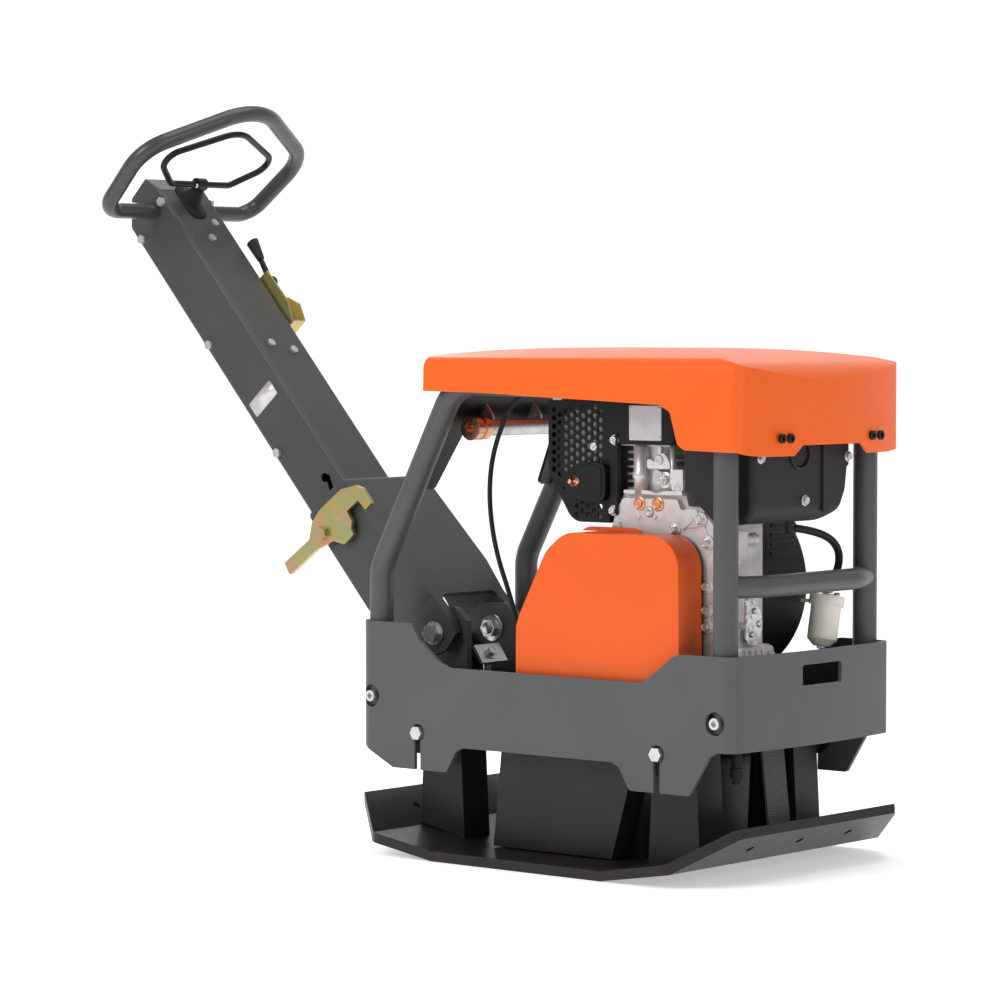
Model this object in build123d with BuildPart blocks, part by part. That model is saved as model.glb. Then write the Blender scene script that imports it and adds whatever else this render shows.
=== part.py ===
from build123d import *
import os
from math import acos, cos, pi, radians, sin, tan

os.makedirs("parts", exist_ok=True)

# A reversible plate compactor. Millimetres, +X is forward, +Z is up.
# The origin is the middle of the base plate's flat underside, on the ground.
# The right side of the machine (the belt side) is -Y.

# ---------------------------------------------------------------- driving sizes
PLATE_W = 500          # width of the base plate, across Y
PLATE_T = 14           # thickness of the base plate
FLAT_X = 150           # half length of the flat underside
BEND_X = 260           # where the gentle rise meets the steep end lip
RISE_ANGLE = 9.2       # gentle rise, degrees
LIP_ANGLE = 33         # end lip, degrees
LIP_RUN = 71           # length of the lip, seen from above
LIP_CORNER_Y = 182     # half width of the lip's top edge

SKIRT_Y = 187.5        # half width of the skirt, outside
SKIRT_T = 6            # skirt sheet thickness
SKIRT_REAR_X = -343
SKIRT_FRONT_X = 325    # front panel beside its corners
SKIRT_BOW = 13         # how far the front panel bows forward
SKIRT_REAR_R = 24
SKIRT_FRONT_R = 20

TUBE_R = 17            # cage tube radius
TUBE_WALL = 3
TUBE_Y = 163.5         # cage tube centre lines
TUBE_FRONT_X = 297
TUBE_REAR_X = -320
TUBE_FOOT_Z = 204
TUBE_KNEE_Z = 402      # where the rear tube starts to lean forward
TUBE_TOP_Z = 668
TUBE_TOP_X = -180

DECK_Z = 232           # underside of the engine deck
DECK_T = 8
DECK_TOP = DECK_Z + DECK_T

MOUNT_X = (-231, 199)  # rubber mounts, rear and front
MOUNT_Z = 170
MOUNT_R = 30
TOWER_Y = 141.5        # outer face of the towers that carry the mounts
TOWER_DEPTH = 56
TOWER_TOP = 205

CRANK_X = 100          # engine crankshaft axis, along Y
CRANK_Z = 388
CRANK_R = 18
SHAFT_X = 48           # exciter shafts stand at +/- this
SHAFT_Z = 82
SHAFT_R = 15
FIT = 0.04             # radial clearance of a running fit
GEAR_TEETH = 32
GEAR_MODULE = 3
BELT_Y = -141          # middle plane of the V-belt
BELT_W = 13
PULLEY_W = 26
CLUTCH_R = 45
EXCITER_PULLEY_R = 50

PIVOT_X = -291         # handle pivot axis, along Y
PIVOT_Z = 303
POLE_ANGLE = 41.4      # lean of the handle behind vertical, degrees
POLE_Y = 51            # half width of the pole
POLE_FRONT = -8        # pole faces, measured square to the pole from the pivot
POLE_BACK = -96
POLE_LOW = 112         # pole ends, measured along the pole from the pivot
POLE_TOP = 918
YOKE_Y = 92
YOKE_FOOT_Y = 80
YOKE_TOP = 281
LOOP_S = 866           # the handle loop lies square to the pole at this height
LOOP_R = 12.5

POLE_UP = Vector(-sin(radians(POLE_ANGLE)), 0, cos(radians(POLE_ANGLE)))
POLE_FWD = Vector(cos(radians(POLE_ANGLE)), 0, sin(radians(POLE_ANGLE)))
PIVOT = Vector(PIVOT_X, 0, PIVOT_Z)


def on_pole(s, n, y=0):
    """Point s up the pole and n in front of it, measured from the pivot axis."""
    return PIVOT + POLE_UP * s + POLE_FWD * n + Vector(0, y, 0)


def pole_side(y):
    """Plane facing -Y at this y, with local x square to the pole and local y up it."""
    return Plane(origin=PIVOT + Vector(0, y, 0), x_dir=POLE_FWD, z_dir=(0, -1, 0))


def pole_cut(s):
    """Plane square to the pole, with local x along -Y and local y forward."""
    return Plane(origin=on_pole(s, 0), x_dir=(0, -1, 0), z_dir=POLE_UP)


def pole_face(n):
    """Plane facing forward off the pole, with local x along +Y and local y up the pole."""
    return Plane(origin=on_pole(0, n), x_dir=(0, 1, 0), z_dir=POLE_FWD)


def side_plane(y):
    """Plane facing -Y at this y, with local x forward and local y up."""
    return Plane.XZ.offset(-y)


def cross(y, x, z):
    """Plane facing -Y whose origin is the given axis point."""
    return Plane(origin=(x, y, z), x_dir=(1, 0, 0), z_dir=(0, -1, 0))


# ---------------------------------------------------------------- base plate
RISE = (BEND_X - FLAT_X) * tan(radians(RISE_ANGLE))
LIP_RISE = LIP_RUN * tan(radians(LIP_ANGLE))


def plate_top(x):
    """Height of the plate's upper face at this x."""
    d = abs(x)
    if d <= FLAT_X:
        return PLATE_T
    if d <= BEND_X:
        return PLATE_T + (d - FLAT_X) * tan(radians(RISE_ANGLE))
    return PLATE_T + RISE + (d - BEND_X) * tan(radians(LIP_ANGLE))


def plate_under(turn_a, turn_b, x, z):
    """Point of the underside below an upper point between two slopes."""
    half = radians(turn_a + turn_b) / 2
    reach = PLATE_T / cos(radians(turn_b - turn_a) / 2)
    return x + reach * sin(half), z - reach * cos(half)


upper = [(FLAT_X, PLATE_T), (BEND_X, PLATE_T + RISE), (BEND_X + LIP_RUN, PLATE_T + RISE + LIP_RISE)]
lower = [
    plate_under(0, RISE_ANGLE, *upper[0]),
    plate_under(RISE_ANGLE, LIP_ANGLE, *upper[1]),
    plate_under(LIP_ANGLE, LIP_ANGLE, *upper[2]),
]
half_profile = upper + lower[::-1]
LIP_TIP_X = lower[2][0]

with BuildPart() as base_plate:
    with BuildSketch(side_plane(PLATE_W / 2)):
        with BuildLine():
            right = half_profile
            left = [(-x, z) for x, z in half_profile[::-1]]
            Polyline(*right, *left, close=True)
        make_face()
    extrude(amount=PLATE_W)
    with BuildSketch():
        with BuildLine():
            tip = LIP_TIP_X + 1
            w = PLATE_W / 2
            Polyline(
                (tip, -LIP_CORNER_Y), (tip, LIP_CORNER_Y), (BEND_X, w), (-BEND_X, w),
                (-tip, LIP_CORNER_Y), (-tip, -LIP_CORNER_Y), (-BEND_X, -w), (BEND_X, -w), close=True,
            )
        make_face()
        fillet(vertices(), radius=24)
    extrude(amount=120, mode=Mode.INTERSECT)
    for end in (1, -1):
        slope = Plane(
            origin=(end * (BEND_X + LIP_RUN / 2), 0, plate_top(BEND_X + LIP_RUN / 2)),
            x_dir=(0, 1, 0),
            z_dir=(-end * sin(radians(LIP_ANGLE)), 0, cos(radians(LIP_ANGLE))),
        )
        with BuildSketch(slope):
            with GridLocations(116, 1, 3, 1):
                Circle(6.5)
        extrude(amount=-2 * PLATE_T, mode=Mode.SUBTRACT)
base_plate.part.label = "base_plate"
export_step(base_plate.part, "parts/base_plate.step")

# ---------------------------------------------------------------- mount towers
TOWER_SPAN = ((-265, -182), (150, 238))
TOWER_WALL = 9

with BuildPart() as mount_towers:
    for back, front in TOWER_SPAN:
        feet = [(back, plate_top(back)), (front, plate_top(front))]
        with BuildSketch(side_plane(-TOWER_Y + TOWER_DEPTH)):
            with BuildLine():
                Polyline(*feet, (front - 10, TOWER_TOP), (back + 10, TOWER_TOP), close=True)
            make_face()
        extrude(amount=TOWER_DEPTH)
        with BuildSketch(side_plane(-TOWER_Y + TOWER_DEPTH)):
            with BuildLine():
                Polyline(
                    (back + TOWER_WALL, 0), (front - TOWER_WALL, 0),
                    (front - TOWER_WALL - 10, TOWER_TOP - TOWER_WALL),
                    (back + TOWER_WALL + 10, TOWER_TOP - TOWER_WALL), close=True,
                )
            make_face()
        extrude(amount=TOWER_DEPTH - TOWER_WALL, mode=Mode.SUBTRACT)
    for x in MOUNT_X:
        with BuildSketch(cross(-TOWER_Y + TOWER_DEPTH, x, MOUNT_Z)):
            Circle(6.5)
        extrude(amount=TOWER_DEPTH, mode=Mode.SUBTRACT)
    mirror(about=Plane.XZ)
mount_towers.part.label = "mount_towers"
export_step(mount_towers.part, "parts/mount_towers.step")

# ---------------------------------------------------------------- exciter
HOUSING_X = 116
HOUSING_TOP = 150
HOUSING_NEAR = -96
HOUSING_FAR = 130
COVER_T = 22
BEARING_R = 31
BEARING_W = 16


def housing_outline():
    with BuildSketch(mode=Mode.PRIVATE) as outline:
        with BuildLine():
            Polyline(
                (-HOUSING_X - 6, PLATE_T), (HOUSING_X + 6, PLATE_T),
                (HOUSING_X, HOUSING_TOP), (-HOUSING_X, HOUSING_TOP), close=True,
            )
        make_face()
        fillet(vertices().group_by(Axis.Y)[-1], radius=18)
    return outline.sketch


with BuildPart() as exciter_housing:
    with BuildSketch(side_plane(HOUSING_FAR)):
        add(housing_outline())
        with Locations((0, SHAFT_Z)):
            RectangleRounded(206, 106, 14, mode=Mode.SUBTRACT)
    extrude(amount=HOUSING_FAR - HOUSING_NEAR)
    for z, y in ((HOUSING_TOP, -60), (HOUSING_TOP, 0), (HOUSING_TOP, 60)):
        with BuildSketch(Plane.XY.offset(z - 2)):
            with Locations((0, y)):
                Rectangle(150, 8)
        extrude(amount=14)
exciter_housing.part.label = "exciter_housing"
export_step(exciter_housing.part, "parts/exciter_housing.step")

with BuildPart() as exciter_covers:
    with BuildSketch(side_plane(HOUSING_NEAR)):
        add(housing_outline())
    extrude(amount=COVER_T)
    with BuildSketch(side_plane(HOUSING_NEAR)):
        with Locations((-SHAFT_X, SHAFT_Z), (SHAFT_X, SHAFT_Z)):
            Circle(BEARING_R)
    extrude(amount=BEARING_W, mode=Mode.SUBTRACT)
    with BuildSketch(side_plane(HOUSING_NEAR)):
        with Locations((SHAFT_X, SHAFT_Z)):
            Circle(SHAFT_R + 1)
    extrude(amount=COVER_T, mode=Mode.SUBTRACT)
    with BuildSketch(side_plane(HOUSING_FAR + COVER_T)):
        add(housing_outline())
    extrude(amount=COVER_T)
    with BuildSketch(side_plane(HOUSING_FAR + BEARING_W)):
        with Locations((-SHAFT_X, SHAFT_Z), (SHAFT_X, SHAFT_Z)):
            Circle(BEARING_R)
    extrude(amount=BEARING_W, mode=Mode.SUBTRACT)
exciter_covers.part.label = "exciter_covers"
export_step(exciter_covers.part, "parts/exciter_covers.step")

with BuildPart() as exciter_bearings:
    for y in (HOUSING_NEAR, HOUSING_FAR + BEARING_W):
        with BuildSketch(side_plane(y)):
            with Locations((-SHAFT_X, SHAFT_Z), (SHAFT_X, SHAFT_Z)):
                Circle(BEARING_R)
                Circle(SHAFT_R + FIT, mode=Mode.SUBTRACT)
        extrude(amount=BEARING_W)
exciter_bearings.part.label = "exciter_bearings"
export_step(exciter_bearings.part, "parts/exciter_bearings.step")


def involute(angle):
    return tan(angle) - angle


def gear_outline(shift):
    """Involute tooth outline as polar points; shift turns it by part of a tooth."""
    pitch_r = GEAR_MODULE * GEAR_TEETH / 2
    base_r = pitch_r * cos(radians(20))
    tip_r = pitch_r + 0.9 * GEAR_MODULE
    root_r = pitch_r - 1.25 * GEAR_MODULE
    half = pi / (2 * GEAR_TEETH) - 0.25 / pitch_r + involute(radians(20))
    radii = [base_r, pitch_r - 0.5, pitch_r + 1.2, tip_r]
    flank = [(root_r, half)] + [(r, half - involute(acos(base_r / r))) for r in radii]
    points = []
    for tooth in range(GEAR_TEETH):
        middle = 2 * pi * (tooth + shift) / GEAR_TEETH
        points += [(r * cos(middle - a), r * sin(middle - a)) for r, a in flank]
        points += [(r * cos(middle + a), r * sin(middle + a)) for r, a in flank[::-1]]
    return points


GEAR_FAR = 124
GEAR_W = 24
SHAFT_BORE = SHAFT_R + 6   # the gear and mass sit on a thicker seat of the shaft

with BuildPart() as exciter_gear_front:
    with BuildSketch(cross(GEAR_FAR, SHAFT_X, SHAFT_Z)):
        with BuildLine():
            Polyline(*gear_outline(0), close=True)
        make_face()
        Circle(SHAFT_BORE, mode=Mode.SUBTRACT)
    extrude(amount=GEAR_W)
exciter_gear_front.part.label = "exciter_gear_front"
export_step(exciter_gear_front.part, "parts/exciter_gear_front.step")

with BuildPart() as exciter_gear_rear:
    with BuildSketch(cross(GEAR_FAR, -SHAFT_X, SHAFT_Z)):
        with BuildLine():
            Polyline(*gear_outline(0.5), close=True)
        make_face()
        Circle(SHAFT_BORE, mode=Mode.SUBTRACT)
    extrude(amount=GEAR_W)
exciter_gear_rear.part.label = "exciter_gear_rear"
export_step(exciter_gear_rear.part, "parts/exciter_gear_rear.step")

MASS_R = 42
MASS_NEAR = -70
MASS_FAR = 80


def exciter_shaft(x, near_end, far_end):
    """Shaft along Y with a seat for the gear and a half-round eccentric mass below it."""
    with BuildPart() as shaft:
        with BuildSketch(cross(far_end, x, SHAFT_Z)):
            Circle(SHAFT_R)
        extrude(amount=far_end - near_end)
        with BuildSketch(cross(GEAR_FAR, x, SHAFT_Z)):
            Circle(SHAFT_BORE)
        extrude(amount=GEAR_FAR - MASS_NEAR + 12)
        with BuildSketch(cross(MASS_FAR, x, SHAFT_Z)):
            Circle(MASS_R)
            with Locations((0, MASS_R)):
                Rectangle(2 * MASS_R, 2 * MASS_R - 12, mode=Mode.SUBTRACT)
        extrude(amount=MASS_FAR - MASS_NEAR)
    return shaft.part


PULLEY_FAR = BELT_Y + PULLEY_W / 2
PULLEY_NEAR = BELT_Y - PULLEY_W / 2

with BuildPart() as exciter_shaft_front:
    add(exciter_shaft(SHAFT_X, PULLEY_NEAR, HOUSING_FAR + BEARING_W - 1))
exciter_shaft_front.part.label = "exciter_shaft_front"
export_step(exciter_shaft_front.part, "parts/exciter_shaft_front.step")

with BuildPart() as exciter_shaft_rear:
    add(exciter_shaft(-SHAFT_X, HOUSING_NEAR - BEARING_W + 1, HOUSING_FAR + BEARING_W - 1))
exciter_shaft_rear.part.label = "exciter_shaft_rear"
export_step(exciter_shaft_rear.part, "parts/exciter_shaft_rear.step")


def pulley(x, z, radius, bore):
    """V-belt pulley centred on the belt plane, with its groove and a dished web."""
    with BuildPart() as wheel:
        with BuildSketch(cross(PULLEY_FAR, x, z)):
            Circle(radius)
            Circle(bore, mode=Mode.SUBTRACT)
        extrude(amount=PULLEY_W)
        with BuildSketch(cross(BELT_Y + BELT_W / 2 + 0.6, x, z)):
            Circle(radius + 1)
            Circle(radius - 7, mode=Mode.SUBTRACT)
        extrude(amount=BELT_W + 1.2, mode=Mode.SUBTRACT)
        with BuildSketch(cross(PULLEY_NEAR + 5, x, z)):
            Circle(radius - 12)
            Circle(bore + 8, mode=Mode.SUBTRACT)
        extrude(amount=5, mode=Mode.SUBTRACT)
    return wheel.part


with BuildPart() as exciter_pulley:
    add(pulley(SHAFT_X, SHAFT_Z, EXCITER_PULLEY_R, SHAFT_R))
exciter_pulley.part.label = "exciter_pulley"
export_step(exciter_pulley.part, "parts/exciter_pulley.step")

with BuildPart() as clutch_pulley:
    add(pulley(CRANK_X, CRANK_Z, CLUTCH_R, CRANK_R))
clutch_pulley.part.label = "clutch_pulley"
export_step(clutch_pulley.part, "parts/clutch_pulley.step")


def belt_loop(grow):
    """Outline around both pulleys, at this distance outside their rims."""
    with BuildSketch(mode=Mode.PRIVATE) as loop:
        with Locations((CRANK_X, CRANK_Z)):
            Circle(CLUTCH_R + grow)
        with Locations((SHAFT_X, SHAFT_Z)):
            Circle(EXCITER_PULLEY_R + grow)
        make_hull()
    return loop.sketch


with BuildPart() as v_belt:
    with BuildSketch(side_plane(BELT_Y + BELT_W / 2)):
        add(belt_loop(2))
        add(belt_loop(-6), mode=Mode.SUBTRACT)
    extrude(amount=BELT_W)
v_belt.part.label = "v_belt"
export_step(v_belt.part, "parts/v_belt.step")

LOWER_COVER = ((-92, 208), (-112, 16), (100, 16), (130, 120), (134, 208))
LOWER_NEAR = -160
COVER_WALL = 4

with BuildPart() as lower_belt_cover:
    with BuildSketch(side_plane(HOUSING_NEAR - COVER_T)):
        with BuildLine():
            Polyline(*LOWER_COVER, close=True)
        make_face()
    extrude(amount=HOUSING_NEAR - COVER_T - LOWER_NEAR)
    with BuildSketch(side_plane(HOUSING_NEAR - COVER_T)):
        with BuildLine():
            Polyline((-87, 220), (-107, 20), (97, 20), (126, 121), (130, 220), close=True)
        make_face()
    extrude(amount=HOUSING_NEAR - COVER_T - LOWER_NEAR - COVER_WALL, mode=Mode.SUBTRACT)
lower_belt_cover.part.label = "lower_belt_cover"
export_step(lower_belt_cover.part, "parts/lower_belt_cover.step")

# ---------------------------------------------------------------- skirt and deck


def skirt_outline(inset):
    """Plan of the skirt: straight sides, a bowed front and rounded corners."""
    with BuildSketch(mode=Mode.PRIVATE) as outline:
        with BuildLine():
            front_low = (SKIRT_FRONT_X, -SKIRT_Y)
            front_high = (SKIRT_FRONT_X, SKIRT_Y)
            Line((SKIRT_REAR_X, -SKIRT_Y), front_low)
            ThreePointArc(front_low, (SKIRT_FRONT_X + SKIRT_BOW, 0), front_high)
            Polyline(front_high, (SKIRT_REAR_X, SKIRT_Y), (SKIRT_REAR_X, -SKIRT_Y))
        make_face()
        fillet(vertices().group_by(Axis.X)[0], radius=SKIRT_REAR_R)
        fillet(vertices().group_by(Axis.X)[-1], radius=SKIRT_FRONT_R)
        if inset:
            offset(amount=-inset, mode=Mode.REPLACE)
    return outline.sketch


SKIRT_TOP_REAR = 326
SKIRT_TOP_MID = 266
SKIRT_TOP_FRONT = 308
SKIRT_LOW_TAB = 117.5
SKIRT_LOW_MID = 154
SKIRT_LOW_FRONT = 179
SKIRT_LOW_REAR = 150
REAR_OPEN_Y = 126      # half width of the low part of the rear panel
REAR_OPEN_Z = 238

SKIRT_SIDE = (
    (-360, SKIRT_TOP_REAR), (-243, SKIRT_TOP_REAR), (-227, 302), (-190, 273), (-172, SKIRT_TOP_MID),
    (171, SKIRT_TOP_MID), (188, 275), (226, 304), (242, SKIRT_TOP_FRONT), (360, SKIRT_TOP_FRONT),
    (360, SKIRT_LOW_FRONT), (300, SKIRT_LOW_FRONT), (287, 172), (254, SKIRT_LOW_TAB),
    (152, SKIRT_LOW_TAB), (134, 148), (122, SKIRT_LOW_MID), (-147, SKIRT_LOW_MID), (-159, 148),
    (-177, SKIRT_LOW_TAB), (-278, SKIRT_LOW_TAB), (-343, SKIRT_LOW_REAR), (-360, SKIRT_LOW_REAR),
)
KEYHOLE_R = 12.5
SLOT_W = 11
PORT_R = 16
PORT_Z = 218

with BuildPart() as side_skirt:
    with BuildSketch(Plane.XY.offset(100)):
        add(skirt_outline(0))
        add(skirt_outline(SKIRT_T), mode=Mode.SUBTRACT)
    extrude(amount=240)
    with BuildSketch(side_plane(SKIRT_Y + 10)):
        with BuildLine():
            Polyline(*SKIRT_SIDE, close=True)
        make_face()
        fillet(vertices().filter_by_position(Axis.X, -300, 340), radius=6)
    extrude(amount=2 * SKIRT_Y + 20, mode=Mode.INTERSECT)
    with BuildSketch(Plane.YZ.offset(SKIRT_REAR_X - 10)):
        with Locations((0, (REAR_OPEN_Z + 400) / 2)):
            Rectangle(2 * REAR_OPEN_Y, 400 - REAR_OPEN_Z)
        fillet(vertices().group_by(Axis.Y)[0], radius=16)
    extrude(amount=40, mode=Mode.SUBTRACT)
    for x in MOUNT_X:
        with BuildSketch(cross(SKIRT_Y + 1, x, MOUNT_Z)):
            Circle(KEYHOLE_R)
            with Locations((0, -40)):
                Rectangle(SLOT_W, 80)
        extrude(amount=2 * SKIRT_Y + 2, mode=Mode.SUBTRACT)
    for x in (TUBE_REAR_X, TUBE_FRONT_X):
        with BuildSketch(cross(SKIRT_Y + 1, x, PORT_Z)):
            Circle(PORT_R)
        extrude(amount=2 * SKIRT_Y + 2, mode=Mode.SUBTRACT)
    with BuildSketch(Plane.YZ.offset(SKIRT_FRONT_X - 20)):
        with Locations((4, 275)):
            Trapezoid(94, 29, 92)
        fillet(vertices(), radius=5)
    extrude(amount=60, mode=Mode.SUBTRACT)
side_skirt.part.label = "side_skirt"
export_step(side_skirt.part, "parts/side_skirt.step")

NOTCH_X = (-75, 230)   # the belt passes the deck here
NOTCH_Y = -112

with BuildPart() as engine_deck:
    with BuildSketch(Plane.XY.offset(DECK_Z)):
        add(skirt_outline(SKIRT_T))
        with Locations(((NOTCH_X[0] + NOTCH_X[1]) / 2, (NOTCH_Y - SKIRT_Y) / 2)):
            Rectangle(NOTCH_X[1] - NOTCH_X[0], SKIRT_Y + NOTCH_Y, mode=Mode.SUBTRACT)
        for x in (TUBE_REAR_X, TUBE_FRONT_X):
            with Locations((x, -TUBE_Y), (x, TUBE_Y)):
                Circle(TUBE_R + 0.5, mode=Mode.SUBTRACT)
    extrude(amount=DECK_T)
engine_deck.part.label = "engine_deck"
export_step(engine_deck.part, "parts/engine_deck.step")

with BuildPart() as rubber_mounts:
    for x in MOUNT_X:
        with BuildSketch(cross(-TOWER_Y, x, MOUNT_Z)):
            Circle(MOUNT_R)
        extrude(amount=SKIRT_Y - SKIRT_T - TOWER_Y)
        with BuildSketch(cross(-TOWER_Y - 8, x, MOUNT_Z)):
            Circle(MOUNT_R + 1)
            Circle(MOUNT_R - 4, mode=Mode.SUBTRACT)
        extrude(amount=SKIRT_Y - SKIRT_T - TOWER_Y - 16, mode=Mode.SUBTRACT)
    mirror(about=Plane.XZ)
rubber_mounts.part.label = "rubber_mounts"
export_step(rubber_mounts.part, "parts/rubber_mounts.step")

with BuildPart() as mount_bolts:
    for x in MOUNT_X:
        with BuildSketch(cross(-SKIRT_Y + SKIRT_T, x, MOUNT_Z)):
            RegularPolygon(9, 6, major_radius=False)
        extrude(amount=11)
        with BuildSketch(cross(-TOWER_Y + TOWER_WALL, x, MOUNT_Z)):
            RegularPolygon(9, 6, major_radius=False)
        extrude(amount=-9)
    mirror(about=Plane.XZ)
mount_bolts.part.label = "mount_bolts"
export_step(mount_bolts.part, "parts/mount_bolts.step")

with BuildPart() as skirt_screws:
    for x in (TUBE_REAR_X, TUBE_FRONT_X):
        with BuildSketch(cross(-TUBE_Y - TUBE_R - 0.5, x, PORT_Z)):
            Circle(8)
        extrude(amount=9)
        with BuildSketch(cross(-TUBE_Y - TUBE_R - 4.5, x, PORT_Z)):
            RegularPolygon(4, 6, major_radius=False)
        extrude(amount=6, mode=Mode.SUBTRACT)
    mirror(about=Plane.XZ)
skirt_screws.part.label = "skirt_screws"
export_step(skirt_screws.part, "parts/skirt_screws.step")

# ---------------------------------------------------------------- cage
CAGE_BEND_R = 62
LEAN = (TUBE_TOP_X - TUBE_REAR_X) / (TUBE_TOP_Z - TUBE_KNEE_Z)


def cage_tube(y, radius):
    """One bent tube: up the front, back along the top, down the leaning rear leg."""
    with BuildPart(mode=Mode.PRIVATE) as tube:
        with BuildLine(side_plane(y)) as path:
            FilletPolyline(
                (TUBE_FRONT_X, TUBE_FOOT_Z), (TUBE_FRONT_X, TUBE_TOP_Z), (TUBE_TOP_X, TUBE_TOP_Z),
                (TUBE_REAR_X, TUBE_KNEE_Z), (TUBE_REAR_X, TUBE_FOOT_Z), radius=CAGE_BEND_R,
            )
        with BuildSketch(Plane.XY.offset(TUBE_FOOT_Z)):
            with Locations((TUBE_FRONT_X, y)):
                Circle(radius)
        sweep(path=path.wire())
    return tube.part


with BuildPart() as cage_tube_right:
    add(cage_tube(-TUBE_Y, TUBE_R))
    add(cage_tube(-TUBE_Y, TUBE_R - TUBE_WALL), mode=Mode.SUBTRACT)
cage_tube_right.part.label = "cage_tube_right"
export_step(cage_tube_right.part, "parts/cage_tube_right.step")

with BuildPart() as cage_tube_left:
    add(cage_tube(TUBE_Y, TUBE_R))
    add(cage_tube(TUBE_Y, TUBE_R - TUBE_WALL), mode=Mode.SUBTRACT)
cage_tube_left.part.label = "cage_tube_left"
export_step(cage_tube_left.part, "parts/cage_tube_left.step")

BAR_Z = 399
BAR_R = 15
BAR_BOW = 24

with BuildPart() as front_crossbar:
    with BuildLine(Plane.XY.offset(BAR_Z)) as bar_path:
        FilletPolyline(
            (TUBE_FRONT_X, -TUBE_Y), (TUBE_FRONT_X + BAR_BOW, -TUBE_Y + 58),
            (TUBE_FRONT_X + BAR_BOW, TUBE_Y - 58), (TUBE_FRONT_X, TUBE_Y), radius=70,
        )
    start = bar_path.wire()
    with BuildSketch(Plane(origin=start @ 0, z_dir=start % 0)):
        Circle(BAR_R)
    sweep(path=start)
    for y in (-TUBE_Y, TUBE_Y):
        with BuildSketch(Plane.XY.offset(BAR_Z - 40)):
            with Locations((TUBE_FRONT_X, y)):
                Circle(TUBE_R + 0.05)
        extrude(amount=80, mode=Mode.SUBTRACT)
    for y in (-TUBE_Y - 20, TUBE_Y + 20):
        with BuildSketch(Plane.XY.offset(BAR_Z - 40)):
            with Locations((TUBE_FRONT_X, y)):
                Rectangle(80, 40)
        extrude(amount=80, mode=Mode.SUBTRACT)
front_crossbar.part.label = "front_crossbar"
export_step(front_crossbar.part, "parts/front_crossbar.step")

LEAN_UP = Vector(LEAN, 0, 1).normalized()
LEAN_FWD = Vector(LEAN_UP.Z, 0, -LEAN_UP.X)
LEAN_TOP = Vector(TUBE_TOP_X, 0, TUBE_TOP_Z)
LEG_IN = 112           # inner edge of the legs, from the middle
LEG_LONG = 172         # plate height along the leaning tubes, at the legs
BAND = 78              # plate height between the legs
CROSS_T = 5

with BuildPart() as rear_cross_plate:
    face = Plane(origin=LEAN_TOP + LEAN_FWD * (-CROSS_T / 2), x_dir=(0, 1, 0), z_dir=LEAN_FWD)
    edge_y = TUBE_Y - 6
    with BuildSketch(face):
        with BuildLine():
            Polyline(
                (-edge_y, -12), (-edge_y, -LEG_LONG), (-LEG_IN - 6, -LEG_LONG), (-LEG_IN + 8, -BAND),
                (LEG_IN - 8, -BAND), (LEG_IN + 6, -LEG_LONG), (edge_y, -LEG_LONG), (edge_y, -12),
                close=True,
            )
        make_face()
        fillet(vertices().filter_by_position(Axis.Y, -400, 700).group_by(Axis.Z)[0:1], radius=8)
    extrude(amount=CROSS_T)
    add(cage_tube(-TUBE_Y, TUBE_R + 0.05), mode=Mode.SUBTRACT)
    add(cage_tube(TUBE_Y, TUBE_R + 0.05), mode=Mode.SUBTRACT)
rear_cross_plate.part.label = "rear_cross_plate"
export_step(rear_cross_plate.part, "parts/rear_cross_plate.step")

PIPE_X = -184
PIPE_Z = 604
PIPE_R = 12

with BuildPart() as cross_pipe:
    with BuildSketch(cross(105, PIPE_X, PIPE_Z)):
        Circle(PIPE_R)
        Circle(PIPE_R - 2.5, mode=Mode.SUBTRACT)
    extrude(amount=200)
    for y in (-78, 30):
        lug_foot = LEAN_TOP + LEAN_UP * (-72)
        with BuildSketch(side_plane(y)):
            with BuildLine():
                inner = lug_foot + LEAN_FWD * (CROSS_T / 2)
                outer = inner + LEAN_UP * 40
                Polyline(
                    (inner.X, inner.Z), (outer.X, outer.Z),
                    (PIPE_X + 4, PIPE_Z + PIPE_R + 6), (PIPE_X + 6, PIPE_Z), close=True,
                )
            make_face()
            with Locations((PIPE_X, PIPE_Z)):
                Circle(PIPE_R - 1, mode=Mode.SUBTRACT)
        extrude(amount=4)
cross_pipe.part.label = "cross_pipe"
export_step(cross_pipe.part, "parts/cross_pipe.step")

with BuildPart() as pipe_fitting:
    for y, radius, long in ((-95, 17, 12), (-107, 15, 7), (-114, 17.5, 12)):
        with BuildSketch(cross(y, PIPE_X, PIPE_Z)):
            Circle(radius)
        extrude(amount=long)
    with BuildSketch(cross(-108, PIPE_X, PIPE_Z)):
        Circle(8)
    extrude(amount=30, mode=Mode.SUBTRACT)
pipe_fitting.part.label = "pipe_fitting"
export_step(pipe_fitting.part, "parts/pipe_fitting.step")

# ---------------------------------------------------------------- hood
HOOD_Y = 196
HOOD_T = 3
HOOD_REAR_X = -216
HOOD_FRONT_X = 335     # front face beside its corners
HOOD_BOW = 23
HOOD_TOP = 719
HOOD_EDGE = 707        # height of the soft edge along the sides
HOOD_LOW = 570

HOOD_HEM = (           # lower edge of the side walls, rear to front
    (-240, 658), (-107, 656), (-16, 652), (90, 648), (206, 643), (224, 634),
    (238, 590), (250, 583), (332, 581), (345, 575), (400, 574),
)


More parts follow.
